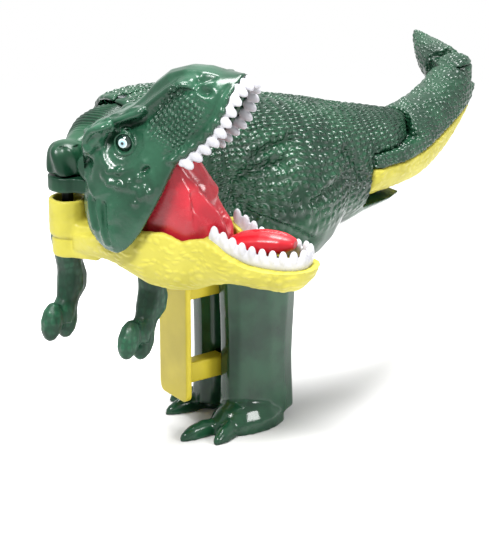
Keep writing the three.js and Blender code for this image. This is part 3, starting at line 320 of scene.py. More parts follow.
@dataclass(frozen=True)
class Effects:
    """Shader groups that the finishes share: how moulded plastic varies and where it is worn.

    Cloud, grain and patch are patterns to a metre. The spans are where each one begins and ends to show.
    """

    cloud: float = 90.0
    grain: float = 1800.0
    patch: float = 260.0
    tone: Span = (0.32, 0.68)
    marks: Span = (0.5, 0.7)
    edge: Span = (0.52, 0.6)
    broken: Span = (0.42, 0.66)
    reach: float = 0.15

    def use(self, desk: Desk, name: str, inputs: dict[str, object], outputs: Sequence[str],
            fill: Callable[[Desk, Mapping[str, object]], Sequence[Socket]]) -> bpy.types.Node:
        """Place a shared group in a material with the material's own values.

        Args:
            desk: The material's tree.
            name: The group's name. It is built where it is first asked for.
            inputs: Values or sockets by input name.
            outputs: The names of its outputs.
            fill: Sets the group's nodes, and gives a socket for each output.

        Returns:
            The group's node.
        """
        tree = bpy.data.node_groups.get(name)
        if tree is None:
            tree = bpy.data.node_groups.new(name, "ShaderNodeTree")
            for title, value in inputs.items():
                many = isinstance(value, (tuple, bpy.types.NodeSocketVector))
                tree.interface.new_socket(title, in_out="INPUT",
                                          socket_type="NodeSocketVector" if many else "NodeSocketFloat")
            for title in outputs:
                tree.interface.new_socket(title, in_out="OUTPUT", socket_type="NodeSocketFloat")
            source, sink = tree.nodes.new("NodeGroupInput"), tree.nodes.new("NodeGroupOutput")
            within = Desk(tree)
            for title, socket in zip(outputs, fill(within, source.outputs)):
                within.feed(sink.inputs[title], socket)
        node = desk.add("ShaderNodeGroup", {"node_tree": tree})
        for title, value in inputs.items():
            desk.feed(node.inputs[title], value)
        return node

    def moulding(self, desk: Desk, position: Socket) -> bpy.types.Node:
        """Vary moulded plastic with cloudy tone, a fine grain and handling marks.

        Args:
            desk: The material's tree.
            position: Where the surface lies.

        Returns:
            The group's node.
        """
        def fill(within: Desk, given: Mapping[str, object]) -> Sequence[Socket]:
            """Set the group's nodes."""
            spot = given["Position"]
            cloud = within.add("ShaderNodeTexNoise", Vector=spot, Scale=given["Cloud"], Detail=4.0)
            grain = within.add("ShaderNodeTexNoise", Vector=spot, Scale=given["Grain"], Detail=3.0)
            marks = within.add("ShaderNodeTexNoise", Vector=spot, Scale=given["Cloud"], Detail=8.0,
                               Roughness=0.72, Distortion=0.6)
            return (within.grade(cloud.outputs["Fac"], self.tone), grain.outputs["Fac"],
                    within.grade(marks.outputs["Fac"], self.marks))

        inputs = {"Position": position, "Cloud": self.cloud, "Grain": self.grain}
        return self.use(desk, "Moulded plastic", inputs, ("Tone", "Grain height", "Handling"), fill)

    def wear(self, desk: Desk, position: Socket) -> bpy.types.Node:
        """Mask the edges and ridges that are rubbed.

        Args:
            desk: The material's tree.
            position: Where the surface lies.

        Returns:
            The group's node.
        """
        def fill(within: Desk, given: Mapping[str, object]) -> Sequence[Socket]:
            """Set the group's nodes."""
            edge = within.grade(within.add("ShaderNodeNewGeometry").outputs["Pointiness"], self.edge)
            patches = within.add("ShaderNodeTexNoise", Vector=given["Position"], Scale=self.patch, Detail=5.0)
            rubbed = within.maths("MULTIPLY", edge, within.grade(patches.outputs["Fac"], self.broken))
            return (within.maths("MULTIPLY", rubbed, given["Reach"]),)

        return self.use(desk, "Edge wear", {"Position": position, "Reach": self.reach}, ("Mask",), fill)

    def relief(self, desk: Desk, relief: Relief) -> tuple[Socket, Socket]:
        """Work out a finish's relief where the piece lies in the pattern.

        Args:
            desk: The material's tree.
            relief: The pattern.

        Returns:
            Its height where the piece carries it, and the same with the plain parts counted as high.
        """
        position = desk.add("ShaderNodeAttribute", {"attribute_name": "seat"}).outputs["Vector"]
        inputs = {"Position": position, **relief.inputs()}
        node = self.use(desk, "Embossed " + relief.kind.value, inputs, ("Height",),
                        lambda within, given: (relief.height(within, given),))
        mask = desk.add("ShaderNodeAttribute", {"attribute_name": "emboss"}).outputs["Fac"]
        height = desk.maths("MULTIPLY", node.outputs["Height"], mask)
        return height, desk.maths("ADD", height, desk.maths("SUBTRACT", 1.0, mask))


EFFECTS = Effects()


@dataclass(frozen=True)
class Finish:
    """A moulded plastic or metal: its colours, its gloss and the relief that it carries.

    Between the scales the colour is darkened with painted shade: groove is how much of it stays there, and
    dark how deep the painted shade is. Dull is the roughness in and out of the grooves. Ends are shares of
    the relief's height.
    """

    name: str
    slot: str
    deep: Triple
    main: Triple
    worn: Triple
    roughness: float
    relief: Relief = field(default_factory=Relief)
    grain: float = 0.02
    metallic: float = 0.0
    bump: float = 1.0
    shine: float = 0.26
    groove: float = 0.6
    dark: float = 0.45
    painted_shade_ends: Span = (0.0, 0.6)
    handled: float = 0.05
    dull_ends: Span = (0.1, 0.8)
    dull: Span = (0.12, 0.0)

    def material(self) -> bpy.types.Material:
        """Build the material, or give the one already built."""
        if self.name in bpy.data.materials:
            return bpy.data.materials[self.name]
        made, desk, glaze = start_material(self.name)
        position = desk.add("ShaderNodeTexCoord").outputs["Object"]
        plastic = EFFECTS.moulding(desk, position)
        worn = EFFECTS.wear(desk, position)
        base = desk.mixed(plastic.outputs["Tone"], self.deep, self.main)
        grain = desk.maths("MULTIPLY", plastic.outputs["Grain height"], self.grain * MM)
        gloss = desk.maths("MULTIPLY_ADD", plastic.outputs["Handling"], self.handled, self.roughness)
        if self.relief.kind is not Kind.PLAIN:
            height, top = EFFECTS.relief(desk, self.relief)
            # Painted shade: darken the colour in the grooves between the scales.
            shade = desk.grade(top, self.painted_shade_ends, (self.groove, 1.0))
            base = desk.mixed(shade, tuple(c * self.dark for c in self.deep), base)
            grain = desk.maths("MULTIPLY_ADD", height, self.relief.depth * MM * self.bump, grain)
            gloss = desk.maths("ADD", gloss, desk.grade(top, self.dull_ends, self.dull))
        bump = desk.add("ShaderNodeBump", Height=grain, Strength=1.0, Distance=1.0)
        desk.feed(glaze["Base Color"], desk.mixed(worn.outputs["Mask"], base, self.worn))
        desk.feed(glaze["Roughness"], gloss)
        desk.feed(glaze["Normal"], bump.outputs["Normal"])
        glaze["Metallic"].default_value = self.metallic
        glaze["Specular IOR Level"].default_value = 0.5 if self.metallic else self.shine
        return made


BODY_SCALES = Relief(Kind.SCALES, (1.6, 2.6, 1.6), wander=7.0, swirl=0.06, low=0.05, high=0.56, depth=0.36)
TAIL_SCALES = Relief(Kind.SCALES, (1.4, 1.8, 1.3), wander=4.0, swirl=0.07, low=0.1, high=0.6, depth=0.24)
HEAD_SCALES = Relief(Kind.SCALES, (1.3, 1.3, 1.2), wander=3.0, swirl=0.1, low=0.05, high=0.55, depth=0.36)
ARM_SCALES = Relief(Kind.SCALES, (1.6, 1.6, 2.4), wander=3.0, swirl=0.15, depth=0.04)
BELLY_WRINKLES = Relief(Kind.SCALES, (2.2, 2.2, 1.4), wander=5.0, swirl=0.12, low=0.1, high=0.62, depth=0.14,
                        jumble=0.95)
GREEN_DEEP = colour(12, 44, 29)
GREEN_MAIN = colour(26, 66, 44)
GREEN_WORN = colour(56, 108, 82)
GREENS = (GREEN_DEEP, GREEN_MAIN, GREEN_WORN)


@dataclass(frozen=True)
class Palette:
    """Every finish of the toy."""

    # Each finish with a relief gets painted shade in the grooves between its cells; groove is how much colour
    # stays there.
    body: Finish = Finish("green_body", "green", *GREENS, 0.14, BODY_SCALES, bump=1.1, shine=0.36)
    tail: Finish = Finish("green_tail", "green", *GREENS, 0.16, TAIL_SCALES, bump=1.2, shine=0.36)
    head: Finish = Finish("green_head", "green", colour(20, 52, 36), colour(34, 74, 54), colour(70, 112, 90),
                          0.24, HEAD_SCALES, shine=0.34)
    limb: Finish = Finish("green_limb", "green", GREEN_DEEP, colour(34, 78, 56), GREEN_WORN, 0.32, ARM_SCALES)
    plain: Finish = Finish("green_plain", "green", *GREENS, 0.36)
    yellow: Finish = Finish("yellow_skin", "yellow", colour(168, 160, 58), colour(182, 174, 72),
                            colour(226, 216, 110), 0.4, BELLY_WRINKLES, groove=0.86)
    trigger: Finish = Finish("yellow_trigger", "yellow", colour(176, 160, 38), colour(190, 174, 48),
                             colour(226, 214, 110), 0.36, grain=0.01)
    tooth: Finish = Finish("white_tooth", "white", colour(172, 172, 178), colour(188, 188, 192),
                           colour(224, 224, 224), 0.3)
    film: Finish = Finish("red_film", "film", colour(148, 26, 38), colour(174, 36, 48), colour(222, 92, 102),
                          0.27, shine=0.55)
    lick: Finish = Finish("red_tongue", "red", colour(154, 10, 24), colour(184, 20, 34), colour(226, 70, 80),
                          0.32, shine=0.4)
    grey: Finish = Finish("grey_bar", "grey", colour(58, 62, 64), colour(84, 88, 90), colour(130, 134, 136),
                          0.42)
    steel: Finish = Finish("bright_steel", "steel", colour(150, 152, 156), colour(192, 195, 200),
                           colour(230, 232, 236), 0.24, metallic=1.0, grain=0.004)
    black: Finish = Finish("black_steel", "steel", colour(20, 24, 24), colour(34, 38, 38),
                           colour(70, 74, 74), 0.4, metallic=1.0, grain=0.004)


FINISHES = Palette()


@dataclass(frozen=True)
class Stroke:
    """A ridge or groove along a line of points on a piece's sides, in millimetres.

    Points are along and up in the piece's bearings. Lift is above the skin, or below where negative.
    """

    line: Line
    lift: float
    width: float

    def reach(self, along: np.ndarray, up: np.ndarray) -> np.ndarray:
        """How strongly each point of the skin feels the stroke, 1 being on its line."""
        spots = np.stack([along, up], 1)
        nearest = np.full(len(spots), np.inf)
        ends = [np.array(p, float) for p in self.line]
        for start, end in zip(ends, ends[1:] or ends):
            run = end - start
            share = np.clip((spots - start) @ run / max(run @ run, TINY), 0, 1)
            nearest = np.minimum(nearest, np.linalg.norm(spots - start - share[:, None] * run, axis=1))
        return np.exp(-((nearest / self.width) ** 2))


def bake(obj: bpy.types.Object) -> None:
    """Make an object's modifiers part of its mesh."""
    mesh = bpy.data.meshes.new_from_object(obj.evaluated_get(bpy.context.evaluated_depsgraph_get()))
    mesh.name = obj.name
    obj.modifiers.clear()
    obj.data = mesh


def place_mesh(name: str, shape: Shape) -> bpy.types.Object:
    """Put a shape into the scene as a new object at the origin, and free the shape."""
    mesh = bpy.data.meshes.new(name)
    shape.to_mesh(mesh)
    shape.free()
    obj = bpy.data.objects.new(name, mesh)
    bpy.context.scene.collection.objects.link(obj)
    return obj


def gathered(rows: bpy.types.bpy_prop_collection, slot: str) -> np.ndarray:
    """Read a vector from every item of a mesh's collection, one row each."""
    flat = np.empty(len(rows) * 3, np.float32)
    rows.foreach_get(slot, flat)
    return flat.reshape(-1, 3).astype(float)


def store(mesh: bpy.types.Mesh, name: str, values: np.ndarray) -> None:
    """Keep a number or a row of three for every point of a mesh, where materials can read it."""
    kind, slot = ("FLOAT", "value") if values.ndim == 1 else ("FLOAT_VECTOR", "vector")
    mesh.attributes.new(name, kind, "POINT").data.foreach_set(slot, values.astype(np.float32).ravel())


def add_ball(shape: Shape, middle: Vector, radius: float) -> None:
    """Add a ball to a shape, its middle in metres and its radius in millimetres."""
    bmesh.ops.create_icosphere(shape, subdivisions=2, radius=radius * MM, matrix=Matrix.Translation(middle))


def add_rod(shape: Shape, start: Vector, end: Vector, radius: float) -> None:
    """Add a round rod to a shape, its ends in metres and its radius in millimetres."""
    run = end - start
    turn = run.to_track_quat("Z", "Y").to_matrix().to_4x4()
    bmesh.ops.create_cone(shape, cap_ends=True, segments=32, radius1=radius * MM, radius2=radius * MM,
                          depth=run.length, matrix=Matrix.Translation((start + end) / 2) @ turn)


def dress(obj: bpy.types.Object, finish: Finish, body: Optional[str], *nodes: str) -> bpy.types.Object:
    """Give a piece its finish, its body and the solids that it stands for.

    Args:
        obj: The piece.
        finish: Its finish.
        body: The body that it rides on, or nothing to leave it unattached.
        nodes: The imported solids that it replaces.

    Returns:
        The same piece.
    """
    obj.data.shade_smooth()
    obj.data.materials.clear()
    obj.data.materials.append(finish.material())
    if "emboss" not in obj.data.attributes:
        store(obj.data, "emboss", np.ones(len(obj.data.vertices)))
    if "seat" not in obj.data.attributes:
        store(obj.data, "seat", gathered(obj.data.vertices, "co"))
    if body:
        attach(obj, body)
    if nodes:
        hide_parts(*nodes)
    LOG.info("%s: %d faces", obj.name, len(obj.data.polygons))
    return obj


class Skin:
    """A solid recast as one even, smooth skin that can be carved and embossed."""

    rubbing: float = 0.5
    side_facing: Span = (0.0, 0.3)
    side_ease: float = 2.0

    def __init__(self, name: str, shape: Shape, voxel: float, polish: int) -> None:
        """Recast a closed shape.

        Args:
            name: The piece's name.
            shape: The closed shape, in metres.
            voxel: The skin's mesh size in millimetres.
            polish: How many rounds of smoothing take the facets off.
        """
        self.obj = place_mesh(name, shape)
        recast = self.obj.modifiers.new("recast", "REMESH")
        recast.mode = "VOXEL"
        recast.voxel_size = voxel * MM * 1.0
        rub = self.obj.modifiers.new("rub", "SMOOTH")
        rub.factor = self.rubbing
        rub.iterations = polish
        bake(self.obj)

    @classmethod
    def of_node(cls, node: str, voxel: float, polish: int,
                extra: Optional[Callable[[Shape], None]] = None) -> "Skin":
        """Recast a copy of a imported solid.

        Args:
            node: The solid's name.
            voxel: The skin's mesh size in millimetres.
            polish: How many rounds of smoothing take the facets off.
            extra: Adds closed shapes that are recast with the solid.

        Returns:
            The new skin.
        """
        shape = bmesh.new()
        shape.from_mesh(frame["nodes"][node].data)
        bmesh.ops.remove_doubles(shape, verts=shape.verts, dist=WELD)
        if extra:
            extra(shape)
        return cls(node + "_skin", shape, voxel, polish)

    def points(self) -> np.ndarray:
        """The skin's points in metres, one row each."""
        return gathered(self.obj.data.vertices, "co")

    def normals(self) -> np.ndarray:
        """The skin's outward directions at its points."""
        return gathered(self.obj.data.vertex_normals, "vector")

    def beside(self, bearings: Bearings, cell: float) -> np.ndarray:
        """Lay a pattern of that cell on the skin as seen from the side, in metres."""
        along, _, up = bearings.read(self.points()).T
        return np.stack([np.full_like(along, SLICE * cell), along, up], 1) * MM

    def around(self, bearings: Bearings, height: float, radius: float, cell: float) -> np.ndarray:
        """Wrap a pattern round a line that runs fore and aft.

        Args:
            bearings: The bearings that hold the line.
            height: How high the line lies, in millimetres up.
            radius: Where the pattern keeps its size.
            cell: The pattern's size across, in millimetres.

        Returns:
            One row of three metres for each point.
        """
        along, aside, up = bearings.read(self.points()).T
        turn = np.arctan2(np.abs(aside), up - height)
        return np.stack([np.full_like(along, SLICE * cell), along, turn * radius], 1) * MM

    def outward(self, bearings: Bearings, height: float) -> np.ndarray:
        """How squarely each point faces away from a line that runs fore and aft, as a cosine."""
        spokes = bearings.read(self.points())[:, 1:] - (0.0, height)
        spokes /= np.linalg.norm(spokes, axis=1, keepdims=True) + TINY
        faces = self.normals() @ np.array([bearings.left, bearings.up]).T
        return np.einsum("ij,ij->i", spokes, faces)

    def move(self, points: np.ndarray) -> "Skin":
        """Give the skin's points new places."""
        self.obj.data.vertices.foreach_set("co", points.astype(np.float32).ravel())
        self.obj.data.update()
        return self

    def carve(self, bearings: Bearings, strokes: Sequence[Stroke], across: float) -> "Skin":
        """Raise ridges and sink grooves on the skin's two sides.

        Args:
            bearings: The bearings that the strokes are drawn in.
            strokes: The ridges and grooves.
            across: How far from the middle plane a side begins, in millimetres.

        Returns:
            The carved skin.
        """
        points, normals = self.points(), self.normals()
        along, aside, up = bearings.read(points).T
        facing = (normals @ np.array(bearings.left)) * np.sign(aside)
        sides = smooth_share(facing, *self.side_facing)
        sides *= smooth_share(np.abs(aside), across, across + self.side_ease)
        lift = sum(s.lift * s.reach(along, up) for s in strokes)
        return self.move(points + normals * (lift * sides * MM)[:, None])

    def warp(self, bearings: Bearings, along: object = 0.0, up: object = 0.0) -> "Skin":
        """Shift each point of the skin by its own millimetres along and up."""
        points = self.points()
        shift = np.zeros_like(points)
        shift[:, 0], shift[:, 2] = along, up
        return self.move(points + shift @ np.array([bearings.forward, bearings.left, bearings.up]) * MM)

    def swell(self, hinge: str, lift: Callable[[np.ndarray, np.ndarray, np.ndarray], np.ndarray]) -> "Skin":
        """Push the skin's points away from an upright hinge.

        Args:
            hinge: The joint there.
            lift: Gives the push in millimetres from each point's angle, height and distance.

        Returns:
            The changed skin.
        """
        points = self.points()
        spokes = points[:, :2] - np.array(joint(hinge)["pos_m"])[:2]
        reach = np.linalg.norm(spokes, axis=1) / MM
        push = lift(np.arctan2(spokes[:, 1], spokes[:, 0]), points[:, 2] / MM, reach)
        points[:, :2] += spokes / np.maximum(reach, 1)[:, None] * push[:, None]
        return self.move(points)

    def emboss(self, relief: Relief, mask: Optional[np.ndarray] = None,
               seat: Optional[np.ndarray] = None) -> "Skin":
        """Raise the relief that the finish also shades.

        Args:
            relief: The pattern.
            mask: How strongly each point carries it, from 0 to 1.
            seat: Where each point lies in the pattern, in metres, if not where it is.

        Returns:
            The embossed skin.
        """
        store(self.obj.data, "emboss", np.ones(len(self.obj.data.vertices)) if mask is None else mask)
        store(self.obj.data, "seat", self.points() if seat is None else seat)
        tree = bpy.data.node_groups.new(self.obj.name + "_relief", "GeometryNodeTree")
        for way in ("INPUT", "OUTPUT"):
            tree.interface.new_socket("Geometry", in_out=way, socket_type="NodeSocketGeometry")
        source, sink = tree.nodes.new("NodeGroupInput"), tree.nodes.new("NodeGroupOutput")
        desk = Desk(tree)

        def named(title: str, kind: str) -> Socket:
            """The stored attribute of that name."""
            node = desk.add("GeometryNodeInputNamedAttribute", {"data_type": kind}, Name=title)
            return next(o for o in node.outputs if o.enabled and o.name == "Attribute")

        height = relief.height(desk, {"Position": named("seat", "FLOAT_VECTOR"), **relief.inputs()})
        share = desk.maths("MULTIPLY", height, named("emboss", "FLOAT"))
        lift = desk.maths("MULTIPLY", share, relief.depth * MM)
        outward = desk.vectors("SCALE", desk.add("GeometryNodeInputNormal").outputs[0], lift)
        moved = desk.add("GeometryNodeSetPosition", Geometry=source.outputs[0], Offset=outward)
        desk.feed(sink.inputs[0], moved.outputs[0])
        self.obj.modifiers.new("relief", "NODES").node_group = tree
        bake(self.obj)
        return self

    def dress(self, finish: Finish, body: str, *nodes: str) -> bpy.types.Object:
        """Give the skin its finish, hang it on its body and hide the solids it stands for."""
        return dress(self.obj, finish, body, *nodes)


@dataclass
class Trunk:
    """The two body shells with the creases of the haunches, and the bracket at the chest."""

    voxel: float = 0.5
    polish: int = 14
    across: float = 6.0
    scaled_from: Span = (56.0, 68.0)
    facing: Span = (0.3, 0.62)
    rim: Span = (0.8, 3.0)
    rim_up: float = 10.0
    core: float = 2.4
    wrap: float = 19.0
    groove: Span = (-1.3, 1.5)
    swelling: Span = (0.8, 1.8)
    swelling_up: float = 1.8
    creases: tuple[Line, ...] = (
        ((-22.4, 0.7), (-26.0, 2.1), (-31.0, 3.2), (-37.7, 3.5)),
        ((-25.4, 3.0), (-29.3, 6.3), (-36.0, 8.3), (-42.7, 8.9)),
        ((-46.3, -8.4), (-50.8, -6.3), (-54.9, -5.3), (-58.4, -4.4)),
        ((-61.8, 2.3), (-65.4, -1.3), (-68.0, -6.1)),
        ((-22.4, -2.4), (-26.0, -7.3), (-31.0, -11.1), (-39.5, -15.6), (-46.4, -19.8)),
    )

    def folds(self) -> list[Stroke]:
        """A groove with a soft swelling above it for each crease."""
        return [stroke for line in self.creases for stroke in (
            Stroke(line, *self.groove), Stroke(shifted(line, 0, self.swelling_up), *self.swelling))]

    def build(self) -> None:
        """Recast and dress the two shells and the bracket."""
        for side in ("left", "right"):
            node = f"body_shell_{side}"
            skin = Skin.of_node(node, self.voxel, self.polish).carve(BODY, self.folds(), self.across)
            mask = smooth_share(skin.points()[:, 2] / MM, *self.scaled_from)
            mask *= smooth_share(skin.outward(BODY, self.core), *self.facing)
            along, _, up = BODY.read(skin.points()).T
            mask *= smooth_share(along[up > self.rim_up].max() - along, *self.rim)
            seat = skin.around(BODY, self.core, self.wrap, BODY_SCALES.cell[0])
            skin.emboss(BODY_SCALES, mask, seat).dress(FINISHES.body, "body", node)
        Skin.of_node("chest_bracket", voxel=0.4, polish=6).dress(FINISHES.plain, "body", "chest_bracket")


@dataclass
class Neck:
    """The ribbed neck, its knuckle and the two arms."""

    rib_pitch: float = 1.25
    rib_depth: float = 0.3
    ribbed_up: Span = (6.0, 10.0)
    ribbed_to: Span = (14.0, 20.0)
    rise: float = 0.7
    rise_up: Span = (12.0, 17.0)
    rise_to: Span = (10.0, 16.0)
    knuckle_foot: float = 83.5
    knuckle_round: float = 3.0
    knuckle_radius: float = 5.5
    knuckle_wall: float = 2.0
    folds: int = 5
    fold_depth: float = 0.45
    fold_lean: float = 0.5
    fold_sink: float = 0.25

    def knuckle(self, turn: np.ndarray, height: np.ndarray, reach: np.ndarray) -> np.ndarray:
        """The soft upright folds of the knuckle over the head's hinge."""
        high = smooth_share(height, self.knuckle_foot, self.knuckle_foot + self.knuckle_round)
        wave = self.fold_depth * np.sin(self.folds * turn + height * self.fold_lean) - self.fold_sink
        return wave * high * (np.abs(reach - self.knuckle_radius) < self.knuckle_wall)

    def build(self) -> None:
        """Recast and dress the neck and the arms."""
        relief = Relief(Kind.RIBS, (self.rib_pitch, 1.0, 1.0), depth=self.rib_depth,
                        middle=tuple(NECK.origin))
        # Strong painted shade between the ribs: groove=0.2 keeps a fifth of the colour there, so the ribs
        # read as pale lines.
        finish = Finish("green_neck", "green", *GREENS, 0.3, relief, groove=0.2)
        skin = Skin.of_node("neck_link", voxel=0.38, polish=44)
        along, _, up = NECK.read(skin.points()).T
        rise = self.rise * smooth_share(up, *self.rise_up) * (1 - smooth_share(along, *self.rise_to))
        mask = smooth_share(up, *self.ribbed_up) * (1 - smooth_share(along, *self.ribbed_to))
        skin.warp(NECK, up=rise).swell("head_swivel", self.knuckle).emboss(relief, mask)
        skin.dress(finish, "neck", "neck_link")
        for node in ("left_arm", "right_arm"):
            Skin.of_node(node, voxel=0.34, polish=12).emboss(ARM_SCALES).dress(FINISHES.limb, node, node)


@dataclass(frozen=True)
class Fold:
    """A rounded fold of the face along a line, in millimetres.

    Its middle lies sink under the surface, and it stands out to reach at least, as a ledge.
    """

    line: Line
    radius: float
    sink: float
    reach: float = 0.0


@dataclass
class Head:
    """The upper head: brows, lids, wrinkles, pebbled snout and folded cheeks."""

    across: float = 3.0
    back_front: float = 12.0
    back_top: float = 18.6
    back_slope: float = 0.45
    back_aside: Span = (4.0, 7.0)
    snout_from: float = 36.0
    snout_pull: float = 0.22
    pebbled_along: tuple[Span, Span] = ((22.0, 28.0), (36.0, 40.0))
    pebbled_up: tuple[Span, Span] = ((-3.5, 0.0), (8.0, 10.0))
    pebbled_aside: Span = (2.0, 5.0)
    pebbled_elsewhere: float = 0.04
    plug_radius: float = 2.1
    plug_ends: Span = (14.0, 15.25)
    crown: tuple[Triple, ...] = (
        (5, 0, 18.4), (9, 0, 19.6), (12, 0, 18.4), (15, 0, 16.2), (19, 0, 14.4), (6.5, 4, 18.0),
        (10.5, 4, 19.0), (13.5, 4, 17.6), (17, 4, 15.6), (8.5, 8, 17.4), (12, 8, 18.4), (15, 8, 17.2),
        (18.5, 8, 15.0), (4.5, 8, 15.5), (2.0, 4, 16.5), (1.0, 0, 17.0))
    crown_radius: float = 3.5
    eye_spot: Span = (18.1, 10.6)
    lid_beads: int = 28
    lid_reach: float = 2.25
    lid_out: float = 1.2
    lid_thickness: float = 1.0
    clear: float = 40.0
    bead_step: float = 0.8
    folds: tuple[Fold, ...] = (
        Fold(((26.1, 11.6), (30.0, 10.9), (35.1, 9.5), (38.9, 7.2), (40.8, 3.4), (41.0, 0.3)), 1.3, 0.5),
        Fold(((14.0, 15.2), (11.3, 11.9), (11.4, 7.8), (15.5, 4.6), (20.4, 5.0), (23.0, 7.5)), 1.0, 0.4),
        Fold(((14.5, 11.8), (14.7, 9.2), (17.2, 7.2), (19.8, 7.5)), 0.7, 0.3),
        Fold(((8.6, 9.8), (8.9, 5.4), (11.3, 1.1), (11.5, -2.6), (14.6, -2.2), (17.3, 1.1), (18.1, 4.2)),
             1.2, 0.6),
        Fold(((3.0, 13.5), (2.7, 10.7), (2.5, 8.6), (6.3, 6.4)), 1.1, 0.6),
        Fold(((1.0, 6.7), (-0.8, 4.8), (-3.2, 2.3), (-5.6, -0.5)), 1.0, 0.2),
        Fold(((3.4, 3.8), (0.3, 2.0), (-2.4, 0.5), (-4.9, -2.0)), 1.0, 0.2),
        Fold(((0.2, 9.4), (-2.3, 7.0), (-4.7, 4.4)), 1.0, 0.2),
        Fold(((26.0, 8.9), (29.6, 8.6), (33.4, 7.3), (36.7, 5.6)), 0.8, 0.35),
        Fold(((24.3, 7.6), (28.2, 6.8), (31.9, 4.9)), 0.8, 0.35),
        Fold(((22.5, 6.0), (26.0, 5.0), (28.6, 3.2)), 0.8, 0.35),
        Fold(((10.4, 16.0), (12.2, 17.8), (15.5, 18.0), (17.4, 17.0), (19.9, 15.4), (22.5, 14.2),
              (24.6, 13.4), (26.2, 12.0)), 1.5, 0.5, 9.8),
    )
    brow: Line = ((13.2, 19.6), (16.6, 19.0), (19.1, 16.8), (21.9, 14.6), (25.2, 12.3), (28.7, 11.3),
                  (34.2, 9.7), (37.9, 8.4), (40.6, 6.0), (42.1, 2.9))
    cheeks: tuple[Line, ...] = (
        ((2.6, 5.6), (0.2, 3.6), (-2.4, 1.6), (-5.0, -1.2)),
        ((0.8, 8.2), (-1.4, 6.2), (-3.8, 3.6)),
    )
    bumps: Line = ((14.1, 2.1), (13.0, -0.6), (12.6, -2.1), (10.5, -0.9), (8.5, -0.9), (11.6, 3.4),
                   (9.6, 5.2), (8.1, 7.4), (12.2, 7.2), (10.4, 9.3))
    lip: Line = ((22.1, -1.4), (26.3, -3.2), (32.0, -4.5), (37.6, -4.9), (44.7, -3.7))
    scallops: int = 8
    scallops_falling: int = 3
    scallop_first: Span = (22.6, -2.0)
    scallop_step: Span = (2.9, -0.95)

    def strokes(self) -> list[Stroke]:
        """Every ridge and groove of the face, each with its lift and width."""
        lids = [(2.5, 20, 170, 0.75, 0.55), (2.5, 190, 350, 0.6, 0.5), (3.3, 175, 365, -0.4, 0.4)]
        (first, level), (step, fall) = self.scallop_first, self.scallop_step
        scallops = [(first + step * i, level + fall * min(i, self.scallops_falling))
                    for i in range(self.scallops)]
        return [
            Stroke(self.brow, 0.4, 1.05),
            Stroke(shifted(self.brow, -0.6, -2.0), -1.0, 0.9),
            Stroke(shifted(self.brow, 0.7, 1.9), -0.6, 1.0),
            Stroke((self.eye_spot,), -1.2, 4.2),
            *(Stroke(arc(self.eye_spot, *turn), lift, width) for *turn, lift, width in lids),
            Stroke(((16.1, 2.1), (17.5, 1.7)), -1.2, 0.7),  # the ear
            Stroke(((44.4, 2.6), (41.6, 5.0)), -1.6, 0.75),  # the nostril between its two rims
            Stroke(((45.0, 4.2), (43.0, 6.0)), 0.6, 0.7),
            Stroke(((43.2, 1.6), (40.4, 3.6)), 0.5, 0.7),
            Stroke(self.lip, 0.8, 0.9),
            Stroke(shifted(self.lip, 0, 1.7), -0.4, 0.7),
            *(Stroke(line, -0.8, 0.6) for line in self.cheeks),
            *(Stroke((spot,), 0.8, 0.8) for spot in self.bumps),
            *(Stroke((spot,), 0.6, 0.8) for spot in scallops),
        ]

    def lay(self, shape: Shape, solid: BVHTree, fold: Fold, turn: int) -> None:
        """Lay a fold on one side of the head as a row of balls.

        Args:
            shape: The shape that the fold joins.
            solid: The head's own surface.
            fold: The fold.
            turn: 1 for the left side, -1 for the right.
        """
        inward = -turn * HEAD.left
        for (along, up), (far_along, far_up) in zip(fold.line, fold.line[1:]):
            length = math.dist((along, up), (far_along, far_up))
            steps = max(1, round(length / (self.bead_step * fold.radius)))
            for i in range(steps + 1):
                share = i / steps
                spot = HEAD.place(along + (far_along - along) * share, turn * self.clear,
                                  up + (far_up - up) * share)
                hit = solid.ray_cast(spot, inward)[0]
                if hit is None:
                    continue
                middle = hit + inward * fold.sink * MM
                add_ball(shape, middle, fold.radius)
                gap = fold.reach - (middle - HEAD.origin).dot(-inward) / MM
                for step in range(math.ceil(max(gap, 0.0) / fold.radius)):
                    add_ball(shape, middle - inward * min(gap, (step + 1) * fold.radius) * MM, fold.radius)

    def extras(self, shape: Shape) -> None:
        """Lay the folds, close the cheeks over the hinge pins, fill the crown and ring the eyes with lids."""
        solid = BVHTree.FromBMesh(shape)
        for turn in (1, -1):
            for fold in self.folds:
                self.lay(shape, solid, fold, turn)
            add_rod(shape, *(HEAD.place(0, turn * end, 0) for end in self.plug_ends), self.plug_radius)
            for along, aside, up in self.crown:
                add_ball(shape, HEAD.place(along, turn * aside, up), self.crown_radius)
            low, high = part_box("left_eye" if turn > 0 else "right_eye")
            middle = (low + high) / 2
            for i in range(self.lid_beads):
                angle = math.tau * i / self.lid_beads
                off = HEAD.forward * math.cos(angle) + HEAD.up * math.sin(angle)
                lid = middle + MM * (self.lid_reach * off + turn * self.lid_out * HEAD.left)
                add_ball(shape, lid, self.lid_thickness)

